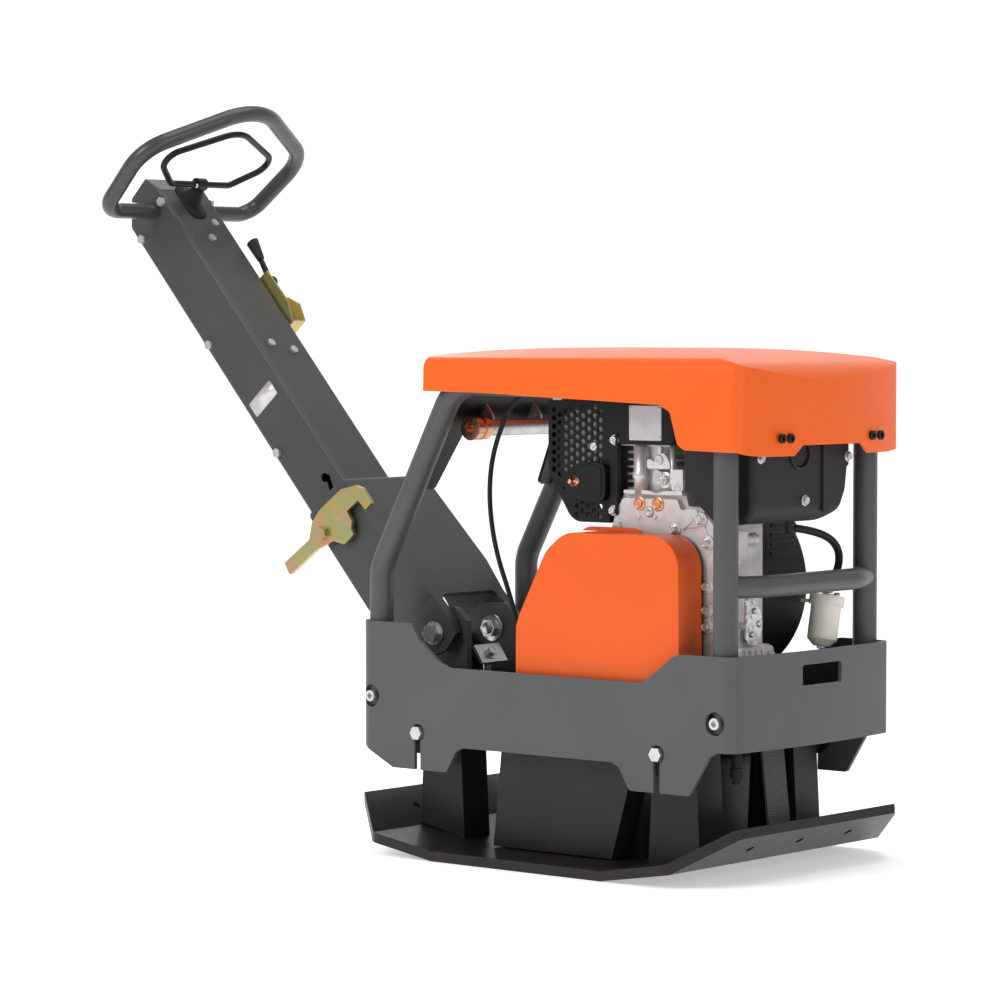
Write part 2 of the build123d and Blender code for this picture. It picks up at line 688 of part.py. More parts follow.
def hood_block(inset):
    """Solid shape of the hood, moved in by the sheet thickness when it is the inside."""
    i = inset
    with BuildPart(mode=Mode.PRIVATE) as block:
        with BuildSketch(Plane.XY.offset(HOOD_LOW - 10)):
            with BuildLine():
                near = (HOOD_FRONT_X - i, -HOOD_Y + i)
                far = (HOOD_FRONT_X - i, HOOD_Y - i)
                Line((HOOD_REAR_X + i, -HOOD_Y + i), near)
                ThreePointArc(near, (HOOD_FRONT_X + HOOD_BOW - i, 0), far)
                Polyline(far, (HOOD_REAR_X + i, HOOD_Y - i), (HOOD_REAR_X + i, -HOOD_Y + i))
            make_face()
            fillet(vertices().group_by(Axis.X)[-1], radius=30 - i)
        extrude(amount=200)
        with BuildSketch(side_plane(HOOD_Y + 5)):
            with BuildLine():
                crown = Spline(
                    (-300, 694 - i), (-140, 716 - i), (60, HOOD_TOP - i), (220, 716 - i), (320, 702 - i),
                )
                ThreePointArc(crown @ 1, (352 - i, 684 - i), (363 - i, 650 - i))
                Polyline((363 - i, 650 - i), (363 - i, 540), (-300, 540), (-300, 694 - i))
            make_face()
        extrude(amount=2 * HOOD_Y + 10, mode=Mode.INTERSECT)
        with BuildSketch(Plane.YZ.offset(-300)):
            with BuildLine():
                roof = ThreePointArc((-172, HOOD_EDGE - i), (0, HOOD_TOP + 1 - i), (172, HOOD_EDGE - i))
                ThreePointArc(roof @ 1, (186 - i, 701 - i), (191 - i, 686 - i))
                Polyline((191 - i, 686 - i), (HOOD_Y - i, 540), (-HOOD_Y + i, 540), (-191 + i, 686 - i))
                ThreePointArc((-191 + i, 686 - i), (-186 + i, 701 - i), roof @ 0)
            make_face()
        extrude(amount=700, mode=Mode.INTERSECT)
    return block.part


with BuildPart() as hood:
    add(hood_block(0))
    add(hood_block(HOOD_T), mode=Mode.SUBTRACT)
    with BuildSketch(side_plane(HOOD_Y + 5)):
        with BuildLine():
            Polyline(*HOOD_HEM, (400, 800), (-240, 800), close=True)
        make_face()
        fillet(vertices().filter_by_position(Axis.X, 200, 252), radius=8)
    extrude(amount=2 * HOOD_Y + 10, mode=Mode.INTERSECT)
    with BuildSketch(Plane.YZ.offset(300)):
        with BuildLine():
            Polyline((-86, 550), (86, 550), (86, 575), (68, 589), (-68, 589), (-86, 575), close=True)
        make_face()
    extrude(amount=100, mode=Mode.SUBTRACT)
hood.part.label = "hood"
export_step(hood.part, "parts/hood.step")

HOOD_BOLT_X = HOOD_FRONT_X + HOOD_BOW * (1 - (106 / HOOD_Y) ** 2)

with BuildPart() as hood_bolts:
    for y in (-116, -96, 96, 116):
        with BuildSketch(Plane.YZ.offset(HOOD_BOLT_X + 2)):
            with Locations((y, 599)):
                Circle(6.5)
        extrude(amount=4)
        with BuildSketch(Plane.YZ.offset(HOOD_BOLT_X + 3)):
            with Locations((y, 599)):
                RegularPolygon(3.2, 6, major_radius=False)
        extrude(amount=5, mode=Mode.SUBTRACT)
hood_bolts.part.label = "hood_bolts"
export_step(hood_bolts.part, "parts/hood_bolts.step")

# ---------------------------------------------------------------- belt guard
GUARD_NEAR = -172
GUARD_FAR = -120
GUARD_WALL = 2.5
GUARD = ((-62, 212), (-61, 331), (-54, 349), (-8, 437), (26, 465), (223, 465), (225, 212))


def guard_outline(inset):
    with BuildSketch(mode=Mode.PRIVATE) as outline:
        with BuildLine():
            Polyline(*GUARD, close=True)
        make_face()
        top = outline.vertices().group_by(Axis.Y)
        fillet(top[-1].sort_by(Axis.X)[-1], radius=46)
        fillet(outline.vertices().filter_by_position(Axis.X, -10, 28), radius=55)
        if inset:
            offset(amount=-inset, mode=Mode.REPLACE)
    return outline.sketch


with BuildPart() as belt_guard:
    with BuildSketch(side_plane(GUARD_FAR)):
        add(guard_outline(0))
    extrude(amount=GUARD_FAR - GUARD_NEAR)
    with BuildSketch(side_plane(GUARD_FAR)):
        add(guard_outline(GUARD_WALL))
        with Locations((81.5, 212)):
            Rectangle(280, 12)
    extrude(amount=GUARD_FAR - GUARD_NEAR - GUARD_WALL, mode=Mode.SUBTRACT)
belt_guard.part.label = "belt_guard"
export_step(belt_guard.part, "parts/belt_guard.step")

BLOCK_NEAR = -112      # near face of the crankcase
BLOCK_FAR = -2

with BuildPart() as guard_backplate:
    with BuildSketch(side_plane(GUARD_FAR + 3)):
        add(guard_outline(0))
        with Locations((CRANK_X, CRANK_Z)):
            Circle(CRANK_R + 6, mode=Mode.SUBTRACT)
    extrude(amount=3)
    with BuildSketch(side_plane(BLOCK_NEAR)):
        with Locations((70, 290), (200, 290), (75, 440), (175, 440)):
            Circle(7)
    extrude(amount=GUARD_FAR * -1 + BLOCK_NEAR - 3)
guard_backplate.part.label = "guard_backplate"
export_step(guard_backplate.part, "parts/guard_backplate.step")

# ---------------------------------------------------------------- engine
CAVITY_R = 50
CAVITY = (-90, -25)

with BuildPart() as crankcase:
    with BuildSketch(side_plane(BLOCK_FAR)):
        with BuildLine():
            Polyline(
                (56, 262), (240, 262), (240, 484), (226, 500), (188, 503), (184, 517), (76, 517),
                (62, 500), (58, 474), (48, 460), (48, 300), close=True,
            )
        make_face()
    extrude(amount=BLOCK_FAR - BLOCK_NEAR - 10)
    with BuildSketch(side_plane(-30)):
        with Locations((80, 251), (215, 251)):
            Rectangle(34, 22)
    extrude(amount=60)
    with BuildSketch(cross(BLOCK_FAR, CRANK_X, CRANK_Z)):
        Circle(CRANK_R + FIT)
    extrude(amount=200, mode=Mode.SUBTRACT)
    with BuildSketch(cross(CAVITY[1], CRANK_X, CRANK_Z)):
        Circle(CAVITY_R)
    extrude(amount=CAVITY[1] - CAVITY[0], mode=Mode.SUBTRACT)
crankcase.part.label = "crankcase"
export_step(crankcase.part, "parts/crankcase.step")

COVER_Y = BLOCK_NEAR + 10
with BuildPart() as crankcase_cover:
    with BuildSketch(side_plane(COVER_Y)):
        with BuildLine():
            Polyline(
                (62, 272), (238, 272), (238, 478), (222, 496), (182, 498), (176, 512), (82, 512),
                (69, 494), (63, 472), (56, 462), (56, 300), close=True,
            )
        make_face()
        fillet(vertices(), radius=5)
        with Locations((CRANK_X, CRANK_Z)):
            Circle(CRANK_R + FIT, mode=Mode.SUBTRACT)
    extrude(amount=10)
crankcase_cover.part.label = "crankcase_cover"
export_step(crankcase_cover.part, "parts/crankcase_cover.step")

COVER_BOLTS = (
    (173, 472), (218, 486), (229, 455), (229, 395), (229, 363), (229, 340), (73, 472), (66, 330),
)

with BuildPart() as engine_bolts:
    for x, z in COVER_BOLTS:
        with BuildSketch(cross(BLOCK_NEAR, x, z)):
            RegularPolygon(6.5, 6, major_radius=False)
        extrude(amount=4.5)
engine_bolts.part.label = "engine_bolts"
export_step(engine_bolts.part, "parts/engine_bolts.step")

BORE_Y = -56
BLOCK_TOP = 517
HEAD_Z = 584

with BuildPart() as cylinder:
    with BuildSketch(Plane.XY.offset(BLOCK_TOP)):
        with Locations((112, BORE_Y)):
            Circle(40)
    extrude(amount=HEAD_Z - BLOCK_TOP)
    for fin in range(6):
        with BuildSketch(Plane.XY.offset(BLOCK_TOP + 6 + 10 * fin)):
            with Locations((112, BORE_Y + 6)):
                RectangleRounded(94, 80, 14)
        extrude(amount=3)
cylinder.part.label = "cylinder"
export_step(cylinder.part, "parts/cylinder.step")

with BuildPart() as cylinder_head:
    with BuildSketch(Plane.XY.offset(HEAD_Z)):
        with Locations((112, BORE_Y)):
            RectangleRounded(96, 96, 10)
    extrude(amount=44)
    with BuildSketch(Plane.XY.offset(628)):
        with Locations((112, BORE_Y)):
            RectangleRounded(84, 80, 12)
    extrude(amount=18)
cylinder_head.part.label = "cylinder_head"
export_step(cylinder_head.part, "parts/cylinder_head.step")

with BuildPart() as engine_cowling:
    with BuildSketch(Plane.XY.offset(586)):
        with Locations((115, BORE_Y)):
            RectangleRounded(116, 116, 12)
            RectangleRounded(112, 112, 10, mode=Mode.SUBTRACT)
    extrude(amount=67)
    with BuildSketch(Plane.XY.offset(653)):
        with Locations((115, BORE_Y)):
            RectangleRounded(116, 116, 12)
    extrude(amount=2)
    with BuildSketch(Plane.YZ.offset(50)):
        with Locations((BORE_Y, 606)):
            Circle(17)
    extrude(amount=12, mode=Mode.SUBTRACT)
engine_cowling.part.label = "engine_cowling"
export_step(engine_cowling.part, "parts/engine_cowling.step")

with BuildPart() as muffler:
    with BuildSketch(side_plane(-42)):
        with Locations((-4, 576)):
            RectangleRounded(88, 112, 34)
    extrude(amount=52)
    with BuildSketch(Plane.YZ.offset(39)):
        with Locations((BORE_Y, 606)):
            Circle(14)
    extrude(amount=25)
muffler.part.label = "muffler"
export_step(muffler.part, "parts/muffler.step")

SCREEN = (-55, 55, 476, 646)   # muffler guard: rear, front, bottom, top
SCREEN_FAR = -34
SCREEN_NEAR = -108
HOLE_PITCH = 12
HOLE_R = 4


def screen_outline(inset):
    x0, x1, z0, z1 = SCREEN
    with BuildSketch(mode=Mode.PRIVATE) as outline:
        with BuildLine():
            Polyline((x0, z1), (x0, z0 + 70), (x0 + 44, z0), (x1, z0), (x1, z1), close=True)
        make_face()
        fillet(outline.vertices().filter_by_position(Axis.X, x0 + 40, x0 + 50), radius=30)
        fillet(outline.vertices().filter_by_position(Axis.Y, z0 + 60, z0 + 75), radius=30)
        if inset:
            offset(amount=-inset, mode=Mode.REPLACE)
    return outline.sketch


with BuildPart() as muffler_guard:
    with BuildSketch(side_plane(SCREEN_FAR)):
        add(screen_outline(0))
    extrude(amount=SCREEN_FAR - SCREEN_NEAR)
    with BuildSketch(side_plane(SCREEN_FAR)):
        add(screen_outline(2))
    extrude(amount=SCREEN_FAR - SCREEN_NEAR - 2, mode=Mode.SUBTRACT)
    with BuildSketch(side_plane(SCREEN_NEAR + 5)):
        for column in range(9):
            low = 484 + (5 - column) * 13 if column < 4 else 486
            rise = low + HOLE_PITCH / 2 * (column % 2)
            while rise < SCREEN[3] - 8:
                with Locations((SCREEN[0] + 10 + column * HOLE_PITCH * cos(pi / 6), rise)):
                    Circle(HOLE_R)
                rise += HOLE_PITCH
    extrude(amount=10, mode=Mode.SUBTRACT)
    with BuildSketch(Plane.YZ.offset(SCREEN[1] - 5)):
        with Locations((BORE_Y, 606)):
            Circle(16)
    extrude(amount=10, mode=Mode.SUBTRACT)
muffler_guard.part.label = "muffler_guard"
export_step(muffler_guard.part, "parts/muffler_guard.step")

BLOWER_R = 138
BLOWER = (0, 106)      # blower drum along Y

with BuildPart() as blower_housing:
    with BuildSketch(cross(BLOWER[1], CRANK_X, CRANK_Z)):
        Circle(BLOWER_R)
    extrude(amount=BLOWER[1] - BLOWER[0])
    with BuildSketch(cross(BLOWER[1] - 4, CRANK_X, CRANK_Z)):
        Circle(BLOWER_R - 4)
    extrude(amount=BLOWER[1] - BLOWER[0] - 8, mode=Mode.SUBTRACT)
    with BuildSketch(cross(BLOWER[1] + 1, CRANK_X, CRANK_Z)):
        Circle(CRANK_R + 4)
    extrude(amount=BLOWER[1] - BLOWER[0] + 2, mode=Mode.SUBTRACT)
    with BuildSketch(cross(BLOWER[1] + 1, CRANK_X, CRANK_Z)):
        Circle(86)
    extrude(amount=6, mode=Mode.SUBTRACT)
blower_housing.part.label = "blower_housing"
export_step(blower_housing.part, "parts/blower_housing.step")

with BuildPart() as recoil_cover:
    with BuildSketch(cross(BLOWER[1] + 44, CRANK_X, CRANK_Z)):
        Circle(86)
    extrude(amount=44, taper=-12)
    with BuildSketch(cross(BLOWER[1] + 40, CRANK_X, CRANK_Z)):
        Circle(84)
    extrude(amount=41, mode=Mode.SUBTRACT)
    with BuildSketch(cross(BLOWER[1] + 46, CRANK_X, CRANK_Z)):
        with PolarLocations(52, 12):
            RectangleRounded(34, 8, 3.5)
    extrude(amount=10, mode=Mode.SUBTRACT)
recoil_cover.part.label = "recoil_cover"
export_step(recoil_cover.part, "parts/recoil_cover.step")

TANK_X = (205, 322)
TANK_Y = 138
TANK_LEFT = 92
TANK_Z = (482, 656)

with BuildPart() as fuel_tank:
    with BuildSketch(side_plane(TANK_LEFT)):
        with Locations((sum(TANK_X) / 2, sum(TANK_Z) / 2)):
            Rectangle(TANK_X[1] - TANK_X[0], TANK_Z[1] - TANK_Z[0])
        chamfer(vertices().group_by(Axis.Y)[0].sort_by(Axis.X)[0], length=44, length2=52)
        fillet(vertices().group_by(Axis.Y)[0], radius=26)
        fillet(vertices().group_by(Axis.Y)[-1], radius=14)
    extrude(amount=TANK_LEFT + TANK_Y)
    fillet(faces().filter_by(Axis.Y).edges(), radius=8)
    with BuildSketch(Plane.YZ.offset(TANK_X[0] - 5)):
        with BuildLine():
            Polyline(
                (-TANK_Y, 482), (30, 482), (62, 497), (77, 524), (82, 556), (TANK_LEFT, 560),
                (TANK_LEFT, 670), (-TANK_Y, 670), close=True,
            )
        make_face()
        fillet(vertices().filter_by_position(Axis.X, 60, 80), radius=22)
    extrude(amount=140, mode=Mode.INTERSECT)
    with BuildSketch(Plane.XY.offset(TANK_Z[0] + 4)):
        with Locations((292, -11)):
            Circle(6.5)
    extrude(amount=-20)
fuel_tank.part.label = "fuel_tank"
export_step(fuel_tank.part, "parts/fuel_tank.step")

FILTER_X = 285
FILTER_Y = 90
FILTER_TOP = 377
FILTER_LEAN = 12
FILTER_PLANE = Plane((FILTER_X, FILTER_Y, FILTER_TOP)).rotated((-FILTER_LEAN, 0, 0))

with BuildPart() as fuel_filter:
    for radius, low, high in ((6, -77, -65), (21, -64, -16), (24.5, -16, -3), (8, -3, 0)):
        with BuildSketch(FILTER_PLANE.offset(low)):
            Circle(radius)
        extrude(amount=high - low)
    with BuildSketch(FILTER_PLANE.offset(-64)):
        Circle(21)
    extrude(amount=-9, taper=45)
    with BuildSketch(Plane.YZ.offset(239)):
        with Locations((FILTER_Y + 2, 366)):
            Circle(2.5)
    extrude(amount=30)
fuel_filter.part.label = "fuel_filter"
export_step(fuel_filter.part, "parts/fuel_filter.step")

HOSE_R = 5.5
HOSE_ROUTE = (
    (292, -4, 473), (295, 30, 469), (299, 72, 458), (298, 97, 441), (293, 107, 420),
    (288, 102, 400), (FILTER_X, FILTER_Y, 383),
)


def route_radii(points):
    """Arc radius at each corner: as large as the two runs beside it allow."""
    stops = [Vector(*p) for p in points]
    radii = []
    for a, b, c in zip(stops, stops[1:], stops[2:]):
        turn = radians((b - a).get_angle(c - b))
        radii.append(0.45 * min((b - a).length, (c - b).length) / tan(turn / 2))
    return radii


def cord_tube(points, radius):
    """Round cord along straight runs joined by tangent arcs."""
    with BuildPart(mode=Mode.PRIVATE) as tube:
        with BuildLine() as path:
            FilletPolyline(*points, radius=route_radii(points))
        wire = path.wire()
        with BuildSketch(Plane(origin=wire @ 0, z_dir=wire % 0)):
            Circle(radius)
        sweep(path=wire)
    return tube.part


with BuildPart() as fuel_hose:
    add(cord_tube(HOSE_ROUTE, HOSE_R))
fuel_hose.part.label = "fuel_hose"
export_step(fuel_hose.part, "parts/fuel_hose.step")
print("fuel hose radii", [round(r) for r in route_radii(HOSE_ROUTE)])

CABLE_R = 3.5
CABLE_ROUTE = (
    (-46, -118, 662), (-84, -118, 662), (-116, -114, 640), (-142, -108, 606), (-162, -104, 562),
    (-171, -100, 514), (-168, -98, 464), (-156, -98, 418), (-137, -98, 374), (-121, -98, 330),
    (-108, -98, 292), (-108, -98, DECK_TOP + 12),
)

with BuildPart() as control_cable:
    add(cord_tube(CABLE_ROUTE, CABLE_R))
control_cable.part.label = "control_cable"
export_step(control_cable.part, "parts/control_cable.step")
print("cable radii", [round(r) for r in route_radii(CABLE_ROUTE)])

with BuildPart() as cable_anchors:
    with BuildSketch(Plane.XY.offset(DECK_TOP)):
        with Locations((-108, -98)):
            Circle(8)
    extrude(amount=12)
    with BuildSketch(Plane.YZ.offset(-46)):
        with Locations((-118, 662)):
            Circle(6)
    extrude(amount=24)
    with BuildSketch(side_plane(-112)):
        with Locations((-36, 655)):
            Rectangle(20, 3)
    extrude(amount=4)
    with BuildSketch(Plane.XY.offset(646)):
        with Locations((-36, -110)):
            Rectangle(16, 4)
    extrude(amount=10.4)
cable_anchors.part.label = "cable_anchors"
export_step(cable_anchors.part, "parts/cable_anchors.step")

with BuildPart() as injection_pump:
    with BuildSketch(Plane.YZ.offset(240)):
        with Locations((-66, 314)):
            RectangleRounded(52, 44, 6)
        with Locations((-62, 372)):
            RectangleRounded(34, 60, 6)
    extrude(amount=26)
    with BuildSketch(Plane.YZ.offset(240)):
        with Locations((-62, 346)):
            Circle(13)
    extrude(amount=34)
injection_pump.part.label = "injection_pump"
export_step(injection_pump.part, "parts/injection_pump.step")

STRAP_Y = -50
STRAP_W = 50
STRAP_FOOT = 303

with BuildPart() as webbing_strap:
    with BuildSketch(side_plane(STRAP_Y + STRAP_W / 2)):
        with BuildLine():
            foot = plate_top(STRAP_FOOT)
            Polyline(
                (284, DECK_Z), (287, DECK_Z), (STRAP_FOOT + 3, foot + 3), (STRAP_FOOT, foot + 1), close=True,
            )
        make_face()
    extrude(amount=STRAP_W)
webbing_strap.part.label = "webbing_strap"
export_step(webbing_strap.part, "parts/webbing_strap.step")

with BuildPart() as drain_tube:
    for radius, z0, z1 in ((7, 150, DECK_Z), (9, 136, 150), (6, 128, 136)):
        with BuildSketch(Plane.XY.offset(z0)):
            with Locations((272, -104)):
                Circle(radius)
        extrude(amount=z1 - z0)
drain_tube.part.label = "drain_tube"
export_step(drain_tube.part, "parts/drain_tube.step")

# ---------------------------------------------------------------- rotating parts of the engine
WEB_R = 44

with BuildPart() as crankshaft:
    with BuildSketch(cross(84, CRANK_X, CRANK_Z)):
        Circle(CRANK_R)
    extrude(amount=84 - PULLEY_NEAR)
    for y in (-30, -68):
        with BuildSketch(cross(y, CRANK_X, CRANK_Z)):
            Circle(WEB_R)
        extrude(amount=16)
    with BuildSketch(cross(-46, CRANK_X, CRANK_Z + 24)):
        Circle(16)
    extrude(amount=22)
crankshaft.part.label = "crankshaft"
export_step(crankshaft.part, "parts/crankshaft.step")

with BuildPart() as flywheel:
    with BuildSketch(cross(66, CRANK_X, CRANK_Z)):
        Circle(108)
        Circle(CRANK_R, mode=Mode.SUBTRACT)
    extrude(amount=26)
    with BuildSketch(cross(84, CRANK_X, CRANK_Z)):
        with PolarLocations(84, 18):
            Rectangle(36, 4)
    extrude(amount=20)
flywheel.part.label = "flywheel"
export_step(flywheel.part, "parts/flywheel.step")

# ---------------------------------------------------------------- handle pivot
EAR = (50, 61)
BOLT_R = 8

with BuildPart() as clevis_ears:
    with BuildSketch(side_plane(-EAR[0])):
        with BuildLine():
            Polyline(
                (-337, DECK_TOP), (-246, DECK_TOP), (-246, 322), (-268, 341), (-314, 341), (-337, 322),
                close=True,
            )
        make_face()
        fillet(vertices().group_by(Axis.Y)[-1], radius=8)
        with Locations((PIVOT_X, PIVOT_Z)):
            Circle(BOLT_R, mode=Mode.SUBTRACT)
    extrude(amount=EAR[1] - EAR[0])
    with BuildSketch(side_plane(-30)):
        with BuildLine():
            Polyline((-337, DECK_TOP), (-322, DECK_TOP), (-322, DECK_TOP + 34), (-337, 292), close=True)
        make_face()
    extrude(amount=EAR[0] - 30)
    mirror(about=Plane.XZ)
clevis_ears.part.label = "clevis_ears"
export_step(clevis_ears.part, "parts/clevis_ears.step")

YOKE_WALL = 6
YOKE_HOLE_R = BOLT_R + 0.05

with BuildPart() as pivot_bolts:
    with BuildSketch(cross(-EAR[0] + 12, PIVOT_X, PIVOT_Z)):
        Circle(BOLT_R)
    extrude(amount=YOKE_FOOT_Y + 3 - EAR[0] + 12)
    with BuildSketch(cross(-YOKE_FOOT_Y - 0.5, PIVOT_X, PIVOT_Z)):
        Circle(17)
    extrude(amount=3)
    with BuildSketch(cross(-YOKE_FOOT_Y - 3.5, PIVOT_X, PIVOT_Z)):
        RegularPolygon(12, 6, major_radius=False)
    extrude(amount=10)
    with BuildSketch(cross(-EAR[0] + 12, PIVOT_X, PIVOT_Z)):
        RegularPolygon(12, 6, major_radius=False)
    extrude(amount=12)
    with BuildSketch(cross(-EAR[1], PIVOT_X, PIVOT_Z)):
        Circle(15)
    extrude(amount=YOKE_FOOT_Y - YOKE_WALL - EAR[1] - 0.5)
    mirror(about=Plane.XZ)
pivot_bolts.part.label = "pivot_bolts"
export_step(pivot_bolts.part, "parts/pivot_bolts.step")

with BuildPart() as handle_stop:
    with BuildSketch(side_plane(0)):
        with BuildLine():
            Polyline((-232, 262), (-184, 278), (-184, 290), (-232, 274), close=True)
        make_face()
    extrude(amount=44)
    with BuildSketch(Plane.XY.offset(DECK_TOP)):
        with Locations((-208, -22)):
            Circle(8)
    extrude(amount=44)
handle_stop.part.label = "handle_stop"
export_step(handle_stop.part, "parts/handle_stop.step")

# ---------------------------------------------------------------- handle


def yoke_block(inset, low, high):
    """Outer or inner shape of the yoke: a channel that narrows towards the pivot."""
    with BuildPart(mode=Mode.PRIVATE) as block:
        half = YOKE_Y - inset
        foot = YOKE_FOOT_Y - inset
        with BuildSketch(pole_face(-120)):
            with BuildLine():
                Polyline(
                    (-half, high), (-half, 104), (-foot, 44), (-foot, low), (foot, low), (foot, 44),
                    (half, 104), (half, high), close=True,
                )
            make_face()
        extrude(amount=200)
    return block.part


YOKE_SIDE = ((-70, YOKE_TOP), (18, YOKE_TOP), (36, -4), (28, -26), (0, -32), (-24, -24), (-32, 0), (-70, 66))

with BuildPart() as handle_yoke:
    with BuildSketch(pole_side(YOKE_Y)):
        with BuildLine():
            Polyline(*YOKE_SIDE, close=True)
        make_face()
        fillet(vertices().filter_by_position(Axis.Z, 0, 345), radius=7)
    extrude(amount=2 * YOKE_Y)
    add(yoke_block(0, -60, 320), mode=Mode.INTERSECT)
    with BuildPart(mode=Mode.PRIVATE) as channel:
        with BuildSketch(pole_side(YOKE_Y)):
            with BuildLine():
                Polyline((-120, 300), (12 - 1, 300), (31, -60), (-120, -60), close=True)
            make_face()
        extrude(amount=2 * YOKE_Y)
        add(yoke_block(YOKE_WALL, -60, 320), mode=Mode.INTERSECT)
    add(channel.part, mode=Mode.SUBTRACT)
    with BuildSketch(pole_face(0)):
        with Locations((0, -10)):
            Rectangle(126, 110)
        fillet(vertices().group_by(Axis.Z)[-1], radius=12)
    extrude(amount=60, mode=Mode.SUBTRACT)
    for s in (126, YOKE_TOP - 4):
        with BuildSketch(pole_cut(s)):
            with Locations((0, -28)):
                Rectangle(2 * YOKE_Y - 12, 80)
            with Locations((0, (POLE_FRONT + POLE_BACK) / 2)):
                Rectangle(2 * POLE_Y, POLE_FRONT - POLE_BACK, mode=Mode.SUBTRACT)
        extrude(amount=4)
    with BuildSketch(cross(YOKE_Y, PIVOT_X, PIVOT_Z)):
        Circle(YOKE_HOLE_R)
    extrude(amount=2 * YOKE_Y, mode=Mode.SUBTRACT)
handle_yoke.part.label = "handle_yoke"
export_step(handle_yoke.part, "parts/handle_yoke.step")

POLE_SIDE = (
    (POLE_FRONT, POLE_LOW), (POLE_FRONT, 886), (-20, POLE_TOP), (-62, POLE_TOP - 3),
    (POLE_BACK, 878), (POLE_BACK, POLE_LOW),
)
POLE_WALL = 3
HUB_S = 856            # the control lever comes out of the front face here

with BuildPart() as handle_pole:
    with BuildSketch(pole_side(POLE_Y)):
        with BuildLine():
            Polyline(*POLE_SIDE, close=True)
        make_face()
    extrude(amount=2 * POLE_Y)
    fillet(edges().filter_by(lambda e: abs(e.tangent_at(0.5).dot(POLE_UP)) > 0.99), radius=6)
    with BuildSketch(pole_side(POLE_Y - POLE_WALL)):
        with BuildLine():
            Polyline(
                (POLE_FRONT - 3, POLE_LOW - 10), (POLE_FRONT - 3, 885), (-21, POLE_TOP - 3),
                (-61, POLE_TOP - 6), (POLE_BACK + 3, 877), (POLE_BACK + 3, POLE_LOW - 10), close=True,
            )
        make_face()
    extrude(amount=2 * (POLE_Y - POLE_WALL), mode=Mode.SUBTRACT)
    with BuildSketch(pole_face(POLE_FRONT - 20)):
        with Locations((0, HUB_S)):
            SlotOverall(60, 24, rotation=90)
    extrude(amount=40, mode=Mode.SUBTRACT)
    with BuildSketch(pole_side(POLE_Y + 20)):
        with Locations((-36, 312)):
            SlotOverall(30, 9, rotation=70)
        with Locations((-38, 326)):
            Circle(7)
    extrude(amount=2 * POLE_Y + 40, mode=Mode.SUBTRACT)
    with BuildSketch(pole_side(POLE_Y + 20)):
        with Locations((-38, LOOP_S)):
            Circle(LOOP_R)
    extrude(amount=2 * POLE_Y + 40, mode=Mode.SUBTRACT)
handle_pole.part.label = "handle_pole"
export_step(handle_pole.part, "parts/handle_pole.step")

LOOP_N = -38
LOOP = ((-160, LOOP_N), (-178, 95), (0, 203), (178, 95), (160, LOOP_N))


def loop_point(y, n, s=LOOP_S):
    return on_pole(s, n, y)


with BuildPart() as handle_loop:
    with BuildLine() as ring:
        corners = [loop_point(y, n) for y, n in LOOP]
        FilletPolyline(*corners, close=True, radius=[34, 62, 105, 62, 34])
    ring_wire = ring.wire()
    with BuildSketch(Plane(origin=ring_wire @ 0, z_dir=ring_wire % 0)):
        Circle(LOOP_R)
    sweep(path=ring_wire)
handle_loop.part.label = "handle_loop"
export_step(handle_loop.part, "parts/handle_loop.step")

SIDE_BOLTS = ((-86, 851), (-16, 866), (-86, 632), (-86, 415), (-66, 290))

with BuildPart() as handle_bolts:
    for side in (-1, 1):
        for n, s in SIDE_BOLTS:
            base = on_pole(s, n, side * POLE_Y)
            with BuildSketch(Plane(origin=base, x_dir=POLE_FWD, z_dir=(0, side, 0))):
                RegularPolygon(6.5, 6, major_radius=False)
            extrude(amount=6)
    with BuildSketch(pole_face(POLE_FRONT)):
        with Locations((22, 814), (-6, 782), (-24, 566), (16, 552)):
            RegularPolygon(6, 6, major_radius=False)
    extrude(amount=5)
handle_bolts.part.label = "handle_bolts"
export_step(handle_bolts.part, "parts/handle_bolts.step")

# Control bail: a bent rod on a hub; the hub turns on a pin inside the top of the pole.
BAIL_R = 5
BAIL_PIN = -18
BAIL_N = 26
BAIL = ((-64, BAIL_N), (-130, 80), (0, 146), (130, 80), (64, BAIL_N))

with BuildPart() as control_bail:
    with BuildLine() as bail_path:
        corners = [loop_point(y, n) for y, n in BAIL]
        FilletPolyline(*corners, close=True, radius=[18, 24, 60, 24, 18])
    bail_wire = bail_path.wire()
    with BuildSketch(Plane(origin=bail_wire @ 0, z_dir=bail_wire % 0)):
        Circle(BAIL_R)
    sweep(path=bail_wire)
    with BuildSketch(pole_side(9)):
        with Locations((BAIL_N, LOOP_S)):
            Circle(10)
    extrude(amount=18)
    with BuildSketch(pole_face(BAIL_PIN)):
        with Locations((0, HUB_S + 6)):
            Circle(6)
    extrude(amount=BAIL_N - BAIL_PIN)
    with BuildSketch(pole_side(POLE_Y - POLE_WALL - 0.5)):
        with Locations((BAIL_PIN, HUB_S + 6)):
            Circle(3.5)
    extrude(amount=2 * (POLE_Y - POLE_WALL - 0.5))
control_bail.part.label = "control_bail"
export_step(control_bail.part, "parts/control_bail.step")

# Throttle lever on the left side of the pole, in a folded plated bracket.
THROTTLE_S = 690
THROTTLE_N = -6
THROTTLE_Y = 66

